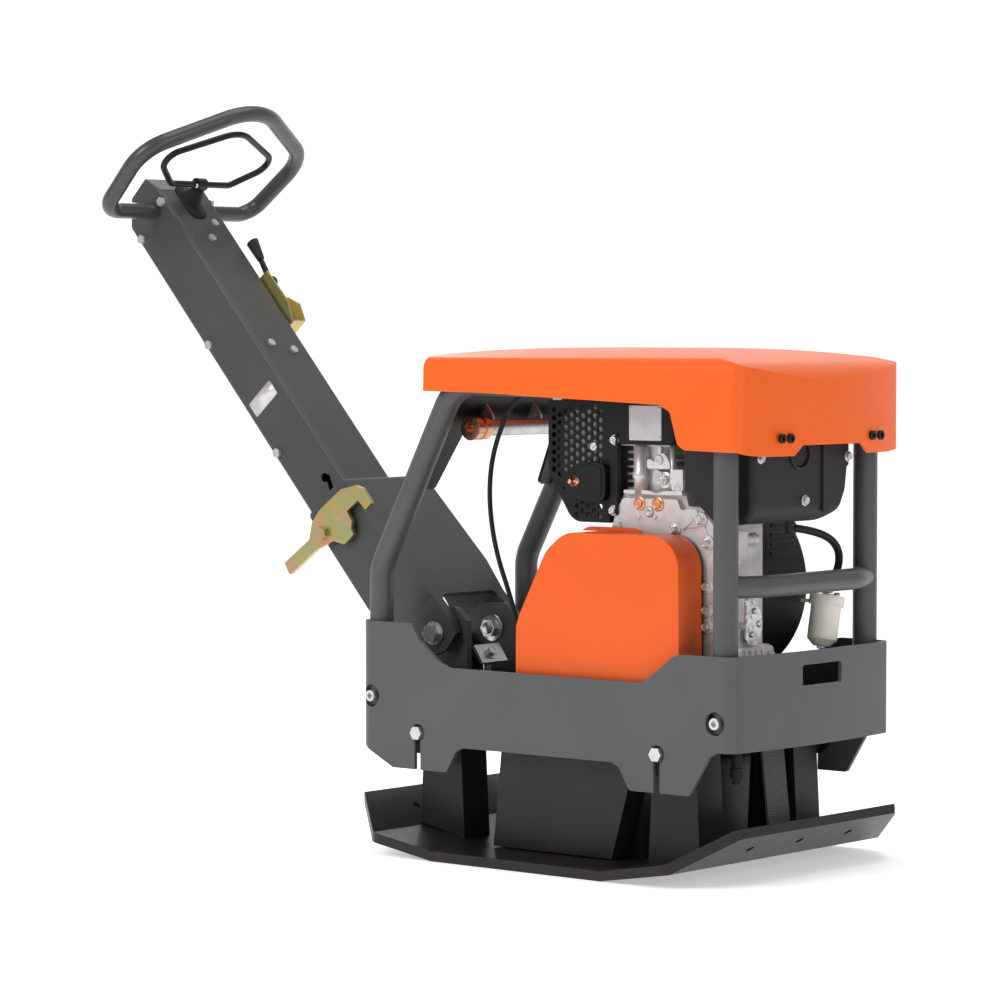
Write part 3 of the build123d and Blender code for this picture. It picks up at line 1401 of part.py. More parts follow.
with BuildPart() as throttle_bracket:
    with BuildSketch(pole_side(POLE_Y + 3)):
        with BuildLine():
            Polyline((-40, 612), (-4, 606), (10, 640), (8, 704), (-40, 704), close=True)
        make_face()
        fillet(vertices(), radius=4)
    extrude(amount=3)
    with BuildSketch(pole_cut(612)):
        with Locations((-(POLE_Y + 18), -22)):
            Rectangle(36, 30)
    extrude(amount=3)
    with BuildSketch(pole_side(POLE_Y + 36)):
        with BuildLine():
            Polyline((-37, 612), (-7, 612), (2, 640), (-10, 664), (-37, 650), close=True)
        make_face()
    extrude(amount=3)
throttle_bracket.part.label = "throttle_bracket"
export_step(throttle_bracket.part, "parts/throttle_bracket.step")

with BuildPart() as throttle_lever:
    with BuildSketch(pole_side(THROTTLE_Y)):
        with Locations((THROTTLE_N, THROTTLE_S)):
            Circle(11)
    extrude(amount=6)
    with BuildSketch(pole_side(THROTTLE_Y - 6)):
        with Locations((THROTTLE_N, THROTTLE_S)):
            Circle(5)
    extrude(amount=THROTTLE_Y - 6 - POLE_Y - 3.5)
    with BuildSketch(pole_side(THROTTLE_Y)):
        with BuildLine():
            Polyline((-10, 690), (-2, 690), (5, 736), (-1, 736), close=True)
        make_face()
    extrude(amount=6)
    with BuildSketch(Plane(origin=on_pole(732, 2, THROTTLE_Y - 3), x_dir=(0, 1, 0), z_dir=POLE_UP)):
        Circle(6)
    with BuildSketch(Plane(origin=on_pole(764, 6, THROTTLE_Y - 3), x_dir=(0, 1, 0), z_dir=POLE_UP)):
        Circle(10)
    loft()
throttle_lever.part.label = "throttle_lever"
export_step(throttle_lever.part, "parts/throttle_lever.step")

# Transport lock: a hooked plate on the right wall of the yoke.
LOCK_N = -56
LOCK_S = 235
LOCK_T = 7
LOCK_GAP = 6
LOCK = (
    (-150, 232), (-146, 252), (-84, 246), (-62, 262), (-40, 266), (14, 262), (40, 248), (48, 236), (48, 208),
    (32, 208), (30, 228), (2, 230), (0, 212), (-8, 206), (-10, 196), (-34, 196), (-48, 214), (-84, 226),
)

with BuildPart() as lock_lever:
    with BuildSketch(pole_side(-YOKE_Y - LOCK_GAP)):
        with BuildLine():
            Polyline(*LOCK, close=True)
        make_face()
        fillet(vertices(), radius=2.5)
    extrude(amount=LOCK_T)
    with BuildSketch(pole_side(-YOKE_Y - 0.5)):
        with Locations((LOCK_N, LOCK_S)):
            Circle(14)
    extrude(amount=LOCK_GAP - 0.5)
    with BuildSketch(pole_side(-YOKE_Y - LOCK_GAP - LOCK_T)):
        with Locations((LOCK_N, LOCK_S)):
            RegularPolygon(9, 6, major_radius=False)
    extrude(amount=7)
lock_lever.part.label = "lock_lever"
export_step(lock_lever.part, "parts/lock_lever.step")
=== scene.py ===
import math

import bmesh
import bpy
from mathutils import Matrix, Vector


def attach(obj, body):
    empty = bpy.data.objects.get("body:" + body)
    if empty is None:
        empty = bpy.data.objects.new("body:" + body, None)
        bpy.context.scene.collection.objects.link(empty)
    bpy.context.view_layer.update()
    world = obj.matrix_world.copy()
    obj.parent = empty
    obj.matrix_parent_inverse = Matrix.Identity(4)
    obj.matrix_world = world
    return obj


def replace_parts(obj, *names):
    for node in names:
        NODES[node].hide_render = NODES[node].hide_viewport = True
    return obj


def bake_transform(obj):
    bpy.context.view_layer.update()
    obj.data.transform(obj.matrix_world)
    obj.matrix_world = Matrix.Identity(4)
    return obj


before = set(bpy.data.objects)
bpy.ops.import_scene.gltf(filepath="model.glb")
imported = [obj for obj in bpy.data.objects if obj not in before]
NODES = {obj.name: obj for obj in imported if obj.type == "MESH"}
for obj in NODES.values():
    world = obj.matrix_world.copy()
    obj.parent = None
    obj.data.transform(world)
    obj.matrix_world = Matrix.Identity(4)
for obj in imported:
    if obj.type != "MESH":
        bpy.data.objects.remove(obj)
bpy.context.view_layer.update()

# ------------------------------------------------------------------ handle frame
PIVOT = Vector((-0.291, 0, 0.303))
LEAN = math.radians(41.4)
POLE_UP = Vector((-math.sin(LEAN), 0, math.cos(LEAN)))
POLE_OUT = Vector((math.cos(LEAN), 0, math.sin(LEAN)))
RIGHT = Vector((0, -1, 0))
FORWARD = Vector((1, 0, 0))
UP = Vector((0, 0, 1))


def on_pole(s, n, y=0):
    """Point s along the pole from its pivot, n out of its front face, y to the left."""
    return PIVOT + POLE_UP * s + POLE_OUT * n + Vector((0, y, 0))


# ------------------------------------------------------------------ materials
def material(name, color, rough, metal=0.0, coat=0.0, coat_rough=0.1, spec=0.5, sheen=0.0):
    """Principled material with its constant values set on the shader itself."""
    m = bpy.data.materials.new(name)
    m.use_nodes = True
    shader = m.node_tree.nodes["Principled BSDF"]
    shader.inputs["Base Color"].default_value = (*color, 1)
    shader.inputs["Roughness"].default_value = rough
    shader.inputs["Metallic"].default_value = metal
    shader.inputs["Coat Weight"].default_value = coat
    shader.inputs["Coat Roughness"].default_value = coat_rough
    shader.inputs["Specular IOR Level"].default_value = spec
    shader.inputs["Sheen Weight"].default_value = sheen
    return m, shader


def node(m, kind, **values):
    n = m.node_tree.nodes.new(kind)
    for k, v in values.items():
        if k in n.inputs:
            n.inputs[k].default_value = v
        else:
            setattr(n, k, v)
    return n


def link(m, a, out, b, into):
    m.node_tree.links.new(a.outputs[out], b.inputs[into])


def object_noise(m, scale, detail=3.0, rough=0.5, stretch=(1, 1, 1)):
    coords = node(m, "ShaderNodeTexCoord")
    place = node(m, "ShaderNodeMapping")
    place.inputs["Scale"].default_value = stretch
    noise = node(m, "ShaderNodeTexNoise", Scale=scale, Detail=detail, Roughness=rough)
    link(m, coords, "Object", place, "Vector")
    link(m, place, "Vector", noise, "Vector")
    return noise


def ramp(m, stops):
    r = node(m, "ShaderNodeValToRGB")
    r.color_ramp.elements[0].position, r.color_ramp.elements[-1].position = stops[0][0], stops[-1][0]
    r.color_ramp.elements[0].color = (*stops[0][1], 1)
    r.color_ramp.elements[-1].color = (*stops[-1][1], 1)
    for at, c in stops[1:-1]:
        r.color_ramp.elements.new(at).color = (*c, 1)
    return r


def vary(m, shader, color, spread, scale, detail=3.0, stretch=(1, 1, 1)):
    """Colour drifts between a darker and a lighter value over the surface."""
    noise = object_noise(m, scale, detail, stretch=stretch)
    low = tuple(c * (1 - spread) for c in color)
    high = tuple(min(1.0, c * (1 + spread)) for c in color)
    colours = ramp(m, ((0.3, low), (0.7, high)))
    link(m, noise, "Fac", colours, "Fac")
    link(m, colours, "Color", shader, "Base Color")
    return noise


def rough_range(m, shader, low, high, scale, detail=4.0):
    noise = object_noise(m, scale, detail)
    span = node(m, "ShaderNodeMapRange")
    span.inputs["To Min"].default_value = low
    span.inputs["To Max"].default_value = high
    link(m, noise, "Fac", span, "Value")
    link(m, span, "Result", shader, "Roughness")


def bump(m, shader, source, out, strength, distance, soften=0.0006):
    """Bump from a texture, on top of slightly rounded edges."""
    edge = node(m, "ShaderNodeBevel", samples=6)
    edge.inputs["Radius"].default_value = soften
    b = node(m, "ShaderNodeBump", Strength=strength, Distance=distance)
    link(m, edge, "Normal", b, "Normal")
    link(m, source, out, b, "Height")
    link(m, b, "Normal", shader, "Normal")
    return b


def worn_edges(m, shader, source_color, bright, reach=0.0012, amount=0.35):
    """Edges are rubbed a little lighter than the coat."""
    plain = node(m, "ShaderNodeNewGeometry")
    rounded = node(m, "ShaderNodeBevel", samples=4)
    rounded.inputs["Radius"].default_value = reach
    dot = node(m, "ShaderNodeVectorMath", operation="DOT_PRODUCT")
    link(m, plain, "Normal", dot, 0)
    link(m, rounded, "Normal", dot, 1)
    span = node(m, "ShaderNodeMapRange")
    span.inputs["From Min"].default_value = 0.999
    span.inputs["From Max"].default_value = 0.93
    span.inputs["To Max"].default_value = amount
    link(m, dot, "Value", span, "Value")
    mix = node(m, "ShaderNodeMix", data_type="RGBA")
    mix.inputs["B"].default_value = (*bright, 1)
    link(m, span, "Result", mix, "Factor")
    link(m, source_color, "Color", mix, "A")
    m.node_tree.links.new(mix.outputs["Result"], shader.inputs["Base Color"])


def paint(name, color, rough, texture=0.12, coat=0.0, grain=900.0, spread=0.05, edge=None, spec=0.5):
    m, s = material(name, color, rough, coat=coat, coat_rough=0.16, spec=spec)
    vary(m, s, color, spread, 9.0)
    colours = [n for n in m.node_tree.nodes if n.type == "VALTORGB"][0]
    rough_range(m, s, rough * 0.88, rough * 1.14, 26.0)
    grains = object_noise(m, grain, 2.0)
    bump(m, s, grains, "Fac", texture, 0.0006)
    if edge:
        worn_edges(m, s, colours, edge)
    return m


def metal(
    name, color, rough, texture=0.2, grain=260.0, spread=0.10, metallic=1.0, stretch=(1, 1, 1), soften=0.0006,
):
    m, s = material(name, color, rough, metal=metallic)
    vary(m, s, color, spread, 55.0, 4.0)
    rough_range(m, s, rough * 0.75, min(1.0, rough * 1.3), 120.0)
    grains = object_noise(m, grain, 5.0, 0.6, stretch)
    bump(m, s, grains, "Fac", texture, 0.0008, soften)
    return m


def iridescent(name):
    """Yellow zinc passivate: straw gold that drifts to green and pink."""
    m, s = material(name, (0.55, 0.42, 0.16), 0.3, metal=0.9)
    drift = object_noise(m, 26.0, 2.5, 0.5, (1, 1, 1.6))
    colours = ramp(m, (
        (0.32, (0.62, 0.44, 0.13)), (0.43, (0.50, 0.44, 0.17)), (0.50, (0.40, 0.46, 0.22)),
        (0.57, (0.60, 0.42, 0.20)), (0.68, (0.62, 0.34, 0.22)),
    ))
    link(m, drift, "Fac", colours, "Fac")
    link(m, colours, "Color", s, "Base Color")
    rough_range(m, s, 0.24, 0.40, 40.0)
    grains = object_noise(m, 400.0, 3.0)
    bump(m, s, grains, "Fac", 0.08, 0.0005)
    return m


def speckled(name):
    """Bright plate mottled with grey spangles."""
    m, s = material(name, (0.62, 0.64, 0.65), 0.3, metal=1.0)
    coords = node(m, "ShaderNodeTexCoord")
    cells = node(m, "ShaderNodeTexVoronoi", Scale=190.0)
    link(m, coords, "Object", cells, "Vector")
    colours = ramp(m, ((0.15, (0.34, 0.37, 0.38)), (0.5, (0.60, 0.62, 0.62)), (0.85, (0.80, 0.81, 0.80))))
    link(m, cells, "Color", colours, "Fac")
    link(m, colours, "Color", s, "Base Color")
    bump(m, s, cells, "Distance", 0.15, 0.0005)
    return m


def webbing_material(name):
    m, s = material(name, (0.022, 0.022, 0.025), 0.85, sheen=0.3)
    coords = node(m, "ShaderNodeTexCoord")
    ribs = node(m, "ShaderNodeTexWave", Scale=95.0, Distortion=0.2, bands_direction="Z")
    cross_ribs = node(m, "ShaderNodeTexWave", Scale=130.0, Distortion=0.1, bands_direction="Y")
    link(m, coords, "Object", ribs, "Vector")
    link(m, coords, "Object", cross_ribs, "Vector")
    both = node(m, "ShaderNodeMath", operation="ADD")
    link(m, ribs, "Fac", both, 0)
    link(m, cross_ribs, "Fac", both, 1)
    colours = ramp(m, ((0.35, (0.012, 0.012, 0.014)), (0.75, (0.045, 0.045, 0.05))))
    half = node(m, "ShaderNodeMath", operation="MULTIPLY")
    half.inputs[1].default_value = 0.5
    link(m, both, "Value", half, 0)
    link(m, half, "Value", colours, "Fac")
    link(m, colours, "Color", s, "Base Color")
    bump(m, s, both, "Value", 0.7, 0.0012)
    return m


def milky(name):
    m, s = material(name, (0.86, 0.82, 0.74), 0.38, spec=0.45)
    s.inputs["Subsurface Weight"].default_value = 0.35
    s.inputs["Subsurface Radius"].default_value = (0.012, 0.008, 0.006)
    s.inputs["Subsurface Scale"].default_value = 0.5
    vary(m, s, (0.84, 0.80, 0.72), 0.06, 30.0)
    grains = object_noise(m, 300.0, 2.0)
    bump(m, s, grains, "Fac", 0.08, 0.0005)
    return m


GREY = paint(
    "Frame grey powder coat", (0.078, 0.081, 0.086), 0.42, 0.10, edge=(0.20, 0.20, 0.21), spec=0.45,
)
SKIRT = paint(
    "Skirt grey powder coat", (0.088, 0.091, 0.096), 0.46, 0.12, edge=(0.20, 0.20, 0.21), spec=0.45,
)
POLE = paint("Pole grey powder coat", (0.052, 0.054, 0.058), 0.44, 0.10, edge=(0.16, 0.16, 0.17), spec=0.45)
ORANGE = paint(
    "Hood orange plastic", (0.90, 0.130, 0.011), 0.36, 0.05, coat=0.05, grain=500.0, spread=0.03, spec=0.3,
)
ORANGE_GLOSS = paint(
    "Guard orange enamel", (0.86, 0.115, 0.009), 0.33, 0.05, coat=0.10, grain=400.0, spread=0.03, spec=0.3,
)
BLACK = paint("Black enamel", (0.009, 0.008, 0.008), 0.34, 0.12, spread=0.15, spec=0.28)
IRON = paint(
    "Plate black coating", (0.016, 0.0135, 0.012), 0.34, 0.25, grain=420.0, spread=0.20,
    edge=(0.05, 0.045, 0.04), spec=0.32,
)
RUBBER = paint("Black rubber", (0.010, 0.010, 0.010), 0.60, 0.25, grain=500.0, spread=0.12, spec=0.3)
PLASTIC = paint(
    "Moulded black plastic", (0.018, 0.015, 0.0155), 0.50, 0.30, grain=1100.0, spread=0.10, spec=0.28,
)
CASTING = metal("As-cast aluminium", (0.72, 0.69, 0.69), 0.48, 0.5, 420.0, 0.10, metallic=0.4)
MACHINED = metal("Machined aluminium", (0.68, 0.66, 0.65), 0.32, 0.10, 500.0, 0.06, metallic=0.55)
ZINC = metal("Bright zinc", (0.66, 0.67, 0.67), 0.26, 0.08, 600.0, 0.06, metallic=0.75)
TUBE = paint(
    "Handle tube coat", (0.050, 0.052, 0.055), 0.28, 0.06, coat=0.15, edge=(0.16, 0.16, 0.17), spec=0.4,
)
STEEL = metal("Machined steel", (0.50, 0.49, 0.48), 0.32, 0.12, 400.0, 0.06)
GALVANISED = metal("Galvanised pipe", (0.60, 0.61, 0.61), 0.40, 0.18, 300.0, 0.14)
BRASS = metal("Turned brass", (0.72, 0.42, 0.26), 0.26, 0.06, 500.0, 0.08)
COPPER = metal("Copper plug", (0.80, 0.36, 0.20), 0.30, 0.08, 500.0, 0.08)
YELLOW = iridescent("Yellow zinc")
SPECKLED = speckled("Spangled plate")
WEBBING = webbing_material("Ribbed webbing")
MILKY = milky("Milky filter plastic")

LOOKS = {
    "base_plate": IRON, "mount_towers": IRON, "exciter_housing": IRON, "exciter_covers": IRON,
    "exciter_bearings": STEEL, "exciter_gear_front": STEEL, "exciter_gear_rear": STEEL,
    "exciter_shaft_front": STEEL, "exciter_shaft_rear": STEEL, "exciter_pulley": STEEL,
    "clutch_pulley": STEEL, "v_belt": RUBBER, "lower_belt_cover": IRON, "side_skirt": SKIRT,
    "engine_deck": BLACK, "rubber_mounts": RUBBER, "mount_bolts": ZINC, "skirt_screws": ZINC,
    "cage_tube_right": GREY, "cage_tube_left": GREY, "front_crossbar": GREY, "rear_cross_plate": BLACK,
    "cross_pipe": GALVANISED, "pipe_fitting": BRASS, "hood": ORANGE, "hood_bolts": BLACK,
    "belt_guard": ORANGE_GLOSS, "guard_backplate": BLACK, "crankcase": CASTING,
    "crankcase_cover": CASTING, "engine_bolts": ZINC, "cylinder": CASTING, "cylinder_head": CASTING,
    "engine_cowling": BLACK, "muffler": STEEL, "muffler_guard": BLACK, "blower_housing": PLASTIC,
    "recoil_cover": PLASTIC, "fuel_tank": PLASTIC, "fuel_filter": MILKY, "fuel_hose": RUBBER,
    "control_cable": RUBBER, "cable_anchors": ZINC, "injection_pump": CASTING,
    "webbing_strap": WEBBING, "drain_tube": RUBBER, "crankshaft": STEEL, "flywheel": MACHINED,
    "clevis_ears": POLE, "pivot_bolts": ZINC, "handle_stop": ZINC, "handle_yoke": POLE,
    "handle_pole": POLE, "handle_loop": TUBE, "handle_bolts": ZINC, "control_bail": BLACK,
    "throttle_bracket": YELLOW, "throttle_lever": PLASTIC, "lock_lever": YELLOW,
}
for name, look in LOOKS.items():
    NODES[name].data.materials.clear()
    NODES[name].data.materials.append(look)

# ------------------------------------------------------------------ mesh tools
def finish_mesh(name, bm, body, look, bevel=0.0, segments=2):
    """Turns a bmesh into a piece that rides on a CAD body."""
    bmesh.ops.remove_doubles(bm, verts=bm.verts, dist=1e-7)
    bmesh.ops.recalc_face_normals(bm, faces=bm.faces)
    mesh = bpy.data.meshes.new(name)
    bm.to_mesh(mesh)
    bm.free()
    piece = bpy.data.objects.new(name, mesh)
    bpy.context.scene.collection.objects.link(piece)
    mesh.materials.append(look)
    for f in mesh.polygons:
        f.use_smooth = True
    if bevel:
        round_edges = piece.modifiers.new("rounded edges", "BEVEL")
        round_edges.width = bevel
        round_edges.segments = segments
        round_edges.limit_method = "ANGLE"
        round_edges.angle_limit = math.radians(32)
        round_edges.harden_normals = True
    if body:
        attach(piece, body)
    return piece


def axes_for(direction, hint=UP):
    """Two unit vectors square to a direction."""
    w = Vector(direction).normalized()
    if abs(w.dot(Vector(hint).normalized())) > 0.95:
        hint = FORWARD
    u = Vector(hint).cross(w).normalized()
    return u, w.cross(u), w


def turned(bm, spot, direction, profile, sides=28, turn=0.0):
    """Adds a shape of rotation: profile is (radius, height) from the base outwards along direction."""
    u, v, w = axes_for(direction)
    rings = []
    for radius, height in profile:
        centre = Vector(spot) + w * height
        if radius < 1e-6:
            rings.append([bm.verts.new(centre)])
            continue
        rings.append([
            bm.verts.new(centre + (u * math.cos(turn + math.tau * k / sides)
                                   + v * math.sin(turn + math.tau * k / sides)) * radius)
            for k in range(sides)
        ])
    for low, high in zip(rings, rings[1:]):
        if len(low) == 1 and len(high) == 1:
            continue
        for k in range(sides):
            n = (k + 1) % sides
            if len(high) == 1:
                bm.faces.new((low[k], low[n], high[0]))
            elif len(low) == 1:
                bm.faces.new((low[0], high[n], high[k]))
            else:
                bm.faces.new((low[k], low[n], high[n], high[k]))


def hex_head(bm, spot, direction, across, height, washer=None, turn=0.3):
    """Hexagon bolt head with a chamfered top, on a washer."""
    start = Vector(spot)
    w = Vector(direction).normalized()
    if washer:
        turned(
            bm, start, w,
            (
                (0, 0), (washer * 0.97, 0), (washer, 0.0004), (washer, 0.0014), (washer * 0.95, 0.0018),
                (0, 0.0018),
            ),
        )
        start = start + w * 0.0018
    corner = across / math.sqrt(3)
    flat = across / 2
    turned(bm, start, w, ((0, 0), (corner, 0), (corner, height * 0.82), (flat * 0.97, height)), 6, turn)
    turned(
        bm, start + w * height, w,
        ((flat * 0.97, -0.0001), (flat * 0.80, 0.0), (flat * 0.72, -0.0004), (0, -0.0004)), 24,
    )


def slab(bm, corners, depth, direction):
    """Flat plate: a closed outline, thickened along direction."""
    d = Vector(direction).normalized() * depth
    low = [bm.verts.new(Vector(c)) for c in corners]
    high = [bm.verts.new(Vector(c) + d) for c in corners]
    bm.faces.new(low[::-1])
    bm.faces.new(high)
    for k in range(len(low)):
        n = (k + 1) % len(low)
        bm.faces.new((low[k], low[n], high[n], high[k]))


def rounded(points, radius, steps=5):
    """2-D outline with every corner rounded, so long as its sides allow."""
    out = []
    count = len(points)
    for k in range(count):
        a, b, c = (Vector(points[j % count]) for j in (k - 1, k, k + 1))
        r = min(radius, 0.45 * (a - b).length, 0.45 * (c - b).length)
        start = b + (a - b).normalized() * r
        end = b + (c - b).normalized() * r
        for j in range(steps + 1):
            t = j / steps
            out.append(start * (1 - t) ** 2 + b * (2 * t * (1 - t)) + end * t ** 2)
    return out


def on_side(outline, y):
    """Outline of (x, z) points, set in the plane at y."""
    return [(p[0], y, p[1]) for p in outline]


def on_front(outline, x):
    """Outline of (y, z) points, set in the plane at x."""
    return [(x, p[0], p[1]) for p in outline]


def tube(name, points, radius, body, look):
    """Curve with a round section through NURBS route points."""
    data = bpy.data.curves.new(name, "CURVE")
    data.dimensions = "3D"
    data.bevel_depth = radius
    data.bevel_resolution = 5
    data.resolution_u = 10
    data.use_fill_caps = True
    spline = data.splines.new("NURBS")
    spline.points.add(len(points) - 1)
    for point, place in zip(spline.points, points):
        point.co = (*place, 1)
    spline.order_u = 3
    spline.use_endpoint_u = True
    data.materials.append(look)
    piece = bpy.data.objects.new(name, data)
    bpy.context.scene.collection.objects.link(piece)
    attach(piece, body)
    return piece


# ------------------------------------------------------------------ faces that the details stand on
GUARD_FACE = -0.108       # muffler guard, belt side
COVER_FACE = -0.1118      # crankcase cover, belt side
ENGINE_FRONT = 0.2405     # front of the crankcase
PUMP_FRONT = 0.2705       # front of the oil pump housing
TANK_FRONT = 0.3215       # front of the fuel tank

# ------------------------------------------------------------------ cords
CABLE_ROUTE = (
    (-0.046, -0.118, 0.662), (-0.084, -0.118, 0.662), (-0.116, -0.114, 0.640), (-0.142, -0.108, 0.606),
    (-0.162, -0.104, 0.562), (-0.171, -0.100, 0.514), (-0.168, -0.098, 0.464), (-0.156, -0.098, 0.418),
    (-0.137, -0.098, 0.374), (-0.121, -0.098, 0.330), (-0.108, -0.098, 0.292), (-0.108, -0.098, 0.252),
)
HOSE_ROUTE = (
    (0.292, -0.004, 0.473), (0.295, 0.030, 0.469), (0.299, 0.072, 0.458), (0.298, 0.097, 0.441),
    (0.293, 0.107, 0.420), (0.288, 0.102, 0.400), (0.285, 0.090, 0.383),
)


def route_length(curve):
    """Length of a curve's own line, measured on its evaluated mesh."""
    bare = curve.data.copy()
    bare.bevel_depth = 0
    temp = bpy.data.objects.new("measure", bare)
    bpy.context.scene.collection.objects.link(temp)
    line = temp.to_mesh()
    points = [v.co.copy() for v in line.vertices]
    total = sum((points[a] - points[b]).length for a, b in (e.vertices for e in line.edges))
    temp.to_mesh_clear()
    bpy.data.objects.remove(temp)
    return total


cable = tube("control_cable_run", CABLE_ROUTE, 0.0035, "machine", RUBBER)
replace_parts(cable, "control_cable")
route_length(cable)
hose = tube("fuel_hose_run", HOSE_ROUTE, 0.0055, "machine", RUBBER)
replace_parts(hose, "fuel_hose")
route_length(hose)

# ------------------------------------------------------------------ hood and guard trim
bm = bmesh.new()
turned(
    bm, (0.095, 0, 0.7175), UP,
    ((0.0, 0), (0.047, -0.0005), (0.0465, 0.0004), (0.044, 0.0012), (0.030, 0.0014), (0, 0.0014)), 64,
)
finish_mesh("hood_round_cap", bm, "machine", ORANGE)

bm = bmesh.new()
for spot in ((0.347, -0.106), (0.347, 0.106)):
    for dy in (-0.010, 0.010):
        turned(
            bm, (spot[0] - 0.0015, spot[1] + dy, 0.599), FORWARD,
            ((0.0, 0), (0.0078, 0), (0.0082, 0.0006), (0.0070, 0.0011), (0.0, 0.0011)), 28,
        )
finish_mesh("hood_bolt_seats", bm, "machine", BLACK)

bm = bmesh.new()
lip = rounded([(0.020, 0.4655), (0.130, 0.4655), (0.118, 0.4715), (0.034, 0.4715)], 0.006)
slab(bm, on_side(lip, -0.128), 0.004, (0, 1, 0))
finish_mesh("guard_top_lip", bm, "machine", ORANGE_GLOSS, 0.0008)

# ------------------------------------------------------------------ muffler guard fittings
bm = bmesh.new()
flap = rounded(
    [
        (0.056, 0.5595), (0.010, 0.5610), (-0.014, 0.5470), (-0.021, 0.5330), (-0.014, 0.5180),
        (0.010, 0.5050), (0.056, 0.5060),
    ],
    0.014,
)
slab(bm, on_side(flap, GUARD_FACE - 0.0002), 0.012, RIGHT)
inner = rounded(
    [
        (0.050, 0.5555), (0.010, 0.5565), (-0.010, 0.5450), (-0.0165, 0.5330), (-0.010, 0.5200),
        (0.010, 0.5095), (0.050, 0.5100),
    ],
    0.012,
)
slab(bm, on_side(inner, GUARD_FACE - 0.012), 0.0016, RIGHT)
finish_mesh("muffler_outlet_cap", bm, "machine", BLACK, 0.0018)

bm = bmesh.new()
turned(
    bm, (0.003, GUARD_FACE - 0.0135, 0.5335), RIGHT,
    (
        (0, 0), (0.0085, 0), (0.0085, 0.0012), (0.006, 0.0016), (0.0055, 0.004), (0.0038, 0.0046),
        (0.0038, 0.011), (0.003, 0.0125), (0, 0.0125),
    ),
    28,
)
finish_mesh("muffler_cap_stud", bm, "machine", BRASS)

bm = bmesh.new()
turned(
    bm, (0.027, GUARD_FACE, 0.582), RIGHT,
    (
        (0, 0), (0.0066, 0), (0.0066, 0.0016), (0.0052, 0.0030), (0.0022, 0.0034), (0.0018, 0.0022),
        (0, 0.0022),
    ),
    28,
)
finish_mesh("muffler_guard_rivet", bm, "machine", ZINC)

bm = bmesh.new()
strip = rounded([(0.058, 0.487), (0.0735, 0.487), (0.0735, 0.650), (0.058, 0.650)], 0.002)
slab(bm, on_side(strip, -0.106), 0.0065, RIGHT)
edge = rounded([(0.0700, 0.489), (0.0745, 0.489), (0.0745, 0.600), (0.0700, 0.600)], 0.001)
slab(bm, on_side(edge, -0.1125), 0.0035, RIGHT)
finish_mesh("muffler_bracket", bm, "machine", BLACK, 0.0008)

bm = bmesh.new()
for x, z in ((0.068, 0.592), (0.066, 0.494)):
    hex_head(bm, (x, -0.1125, z), RIGHT, 0.010, 0.005, 0.0075)
finish_mesh("muffler_bracket_bolts", bm, "machine", ZINC, 0.0003)
bm = bmesh.new()
turned(
    bm, (0.066, -0.1124, 0.523), RIGHT,
    ((0, 0), (0.005, 0), (0.005, 0.0008), (0.0032, 0.0010), (0.003, 0.0002), (0, 0.0002)), 20,
)
finish_mesh("muffler_bracket_hole", bm, "machine", RUBBER)

# ------------------------------------------------------------------ cowling plate and engine castings
bm = bmesh.new()
plate = rounded([(0.094, 0.592), (0.150, 0.592), (0.150, 0.640), (0.094, 0.640)], 0.002)
slab(bm, on_side(plate, -0.1138), 0.0009, RIGHT)
for x in (0.098, 0.146):
    for z in (0.596, 0.636):
        turned(bm, (x, -0.1146, z), RIGHT, ((0, 0), (0.0022, 0), (0.0018, 0.0009), (0, 0.0011)), 16)
finish_mesh("blank_data_plate", bm, "machine", MACHINED, 0.0002)

bm = bmesh.new()
turned(bm, (0.1075, -0.1035, 0.5180), UP, (
    (0, 0), (0.0105, 0), (0.0105, 0.020), (0.0125, 0.022), (0.0125, 0.029), (0.0112, 0.031),
    (0.0112, 0.066), (0, 0.066),
), 40)
turned(
    bm, (0.1600, -0.1010, 0.5260), UP,
    ((0, 0), (0.0060, 0), (0.0060, 0.018), (0.0045, 0.022), (0.0045, 0.060), (0, 0.060)), 24,
)
finish_mesh("pushrod_tube", bm, "machine", MACHINED)

bm = bmesh.new()
gasket = rounded(
    [
        (0.082, 0.5175), (0.184, 0.5175), (0.184, 0.5235), (0.152, 0.5235), (0.140, 0.5195),
        (0.124, 0.5235), (0.082, 0.5235),
    ],
    0.003,
)
slab(bm, on_side(gasket, -0.096), 0.016, RIGHT)
lug = rounded(
    [
        (0.120, 0.553), (0.160, 0.553), (0.160, 0.561), (0.150, 0.575), (0.139, 0.575), (0.133, 0.562),
        (0.127, 0.566), (0.120, 0.566),
    ],
    0.004,
)
slab(bm, on_side(lug, -0.098), 0.010, RIGHT)
arm = rounded([(0.136, 0.572), (0.142, 0.572), (0.142, 0.586), (0.136, 0.586)], 0.001)
slab(bm, on_side(arm, -0.098), 0.007, RIGHT)
post = rounded([(0.164, 0.5235), (0.184, 0.5235), (0.184, 0.553), (0.164, 0.553)], 0.004)
slab(bm, on_side(post, -0.094), 0.016, RIGHT)
finish_mesh("cylinder_side_castings", bm, "machine", CASTING, 0.0016, 3)

bm = bmesh.new()
for x, z, r in ((0.1415, 0.5655, 0.0068), (0.174, 0.5265, 0.0066)):
    turned(
        bm, (x, -0.107, z), RIGHT,
        (
            (0, 0), (r, 0), (r, 0.0030), (r * 0.84, 0.0040), (r * 0.52, 0.0040), (r * 0.46, 0.0012),
            (0, 0.0012),
        ),
        30,
    )
for x, z in ((0.109, 0.487), (0.137, 0.487), (0.200, 0.430), (0.215, 0.374)):
    turned(
        bm, (x, -0.1120, z), RIGHT,
        ((0, 0), (0.0030, 0), (0.0036, 0.0003), (0.0036, 0.0007), (0.0020, 0.0004), (0, 0.0002)), 20,
    )
finish_mesh("casting_bosses", bm, "machine", CASTING)

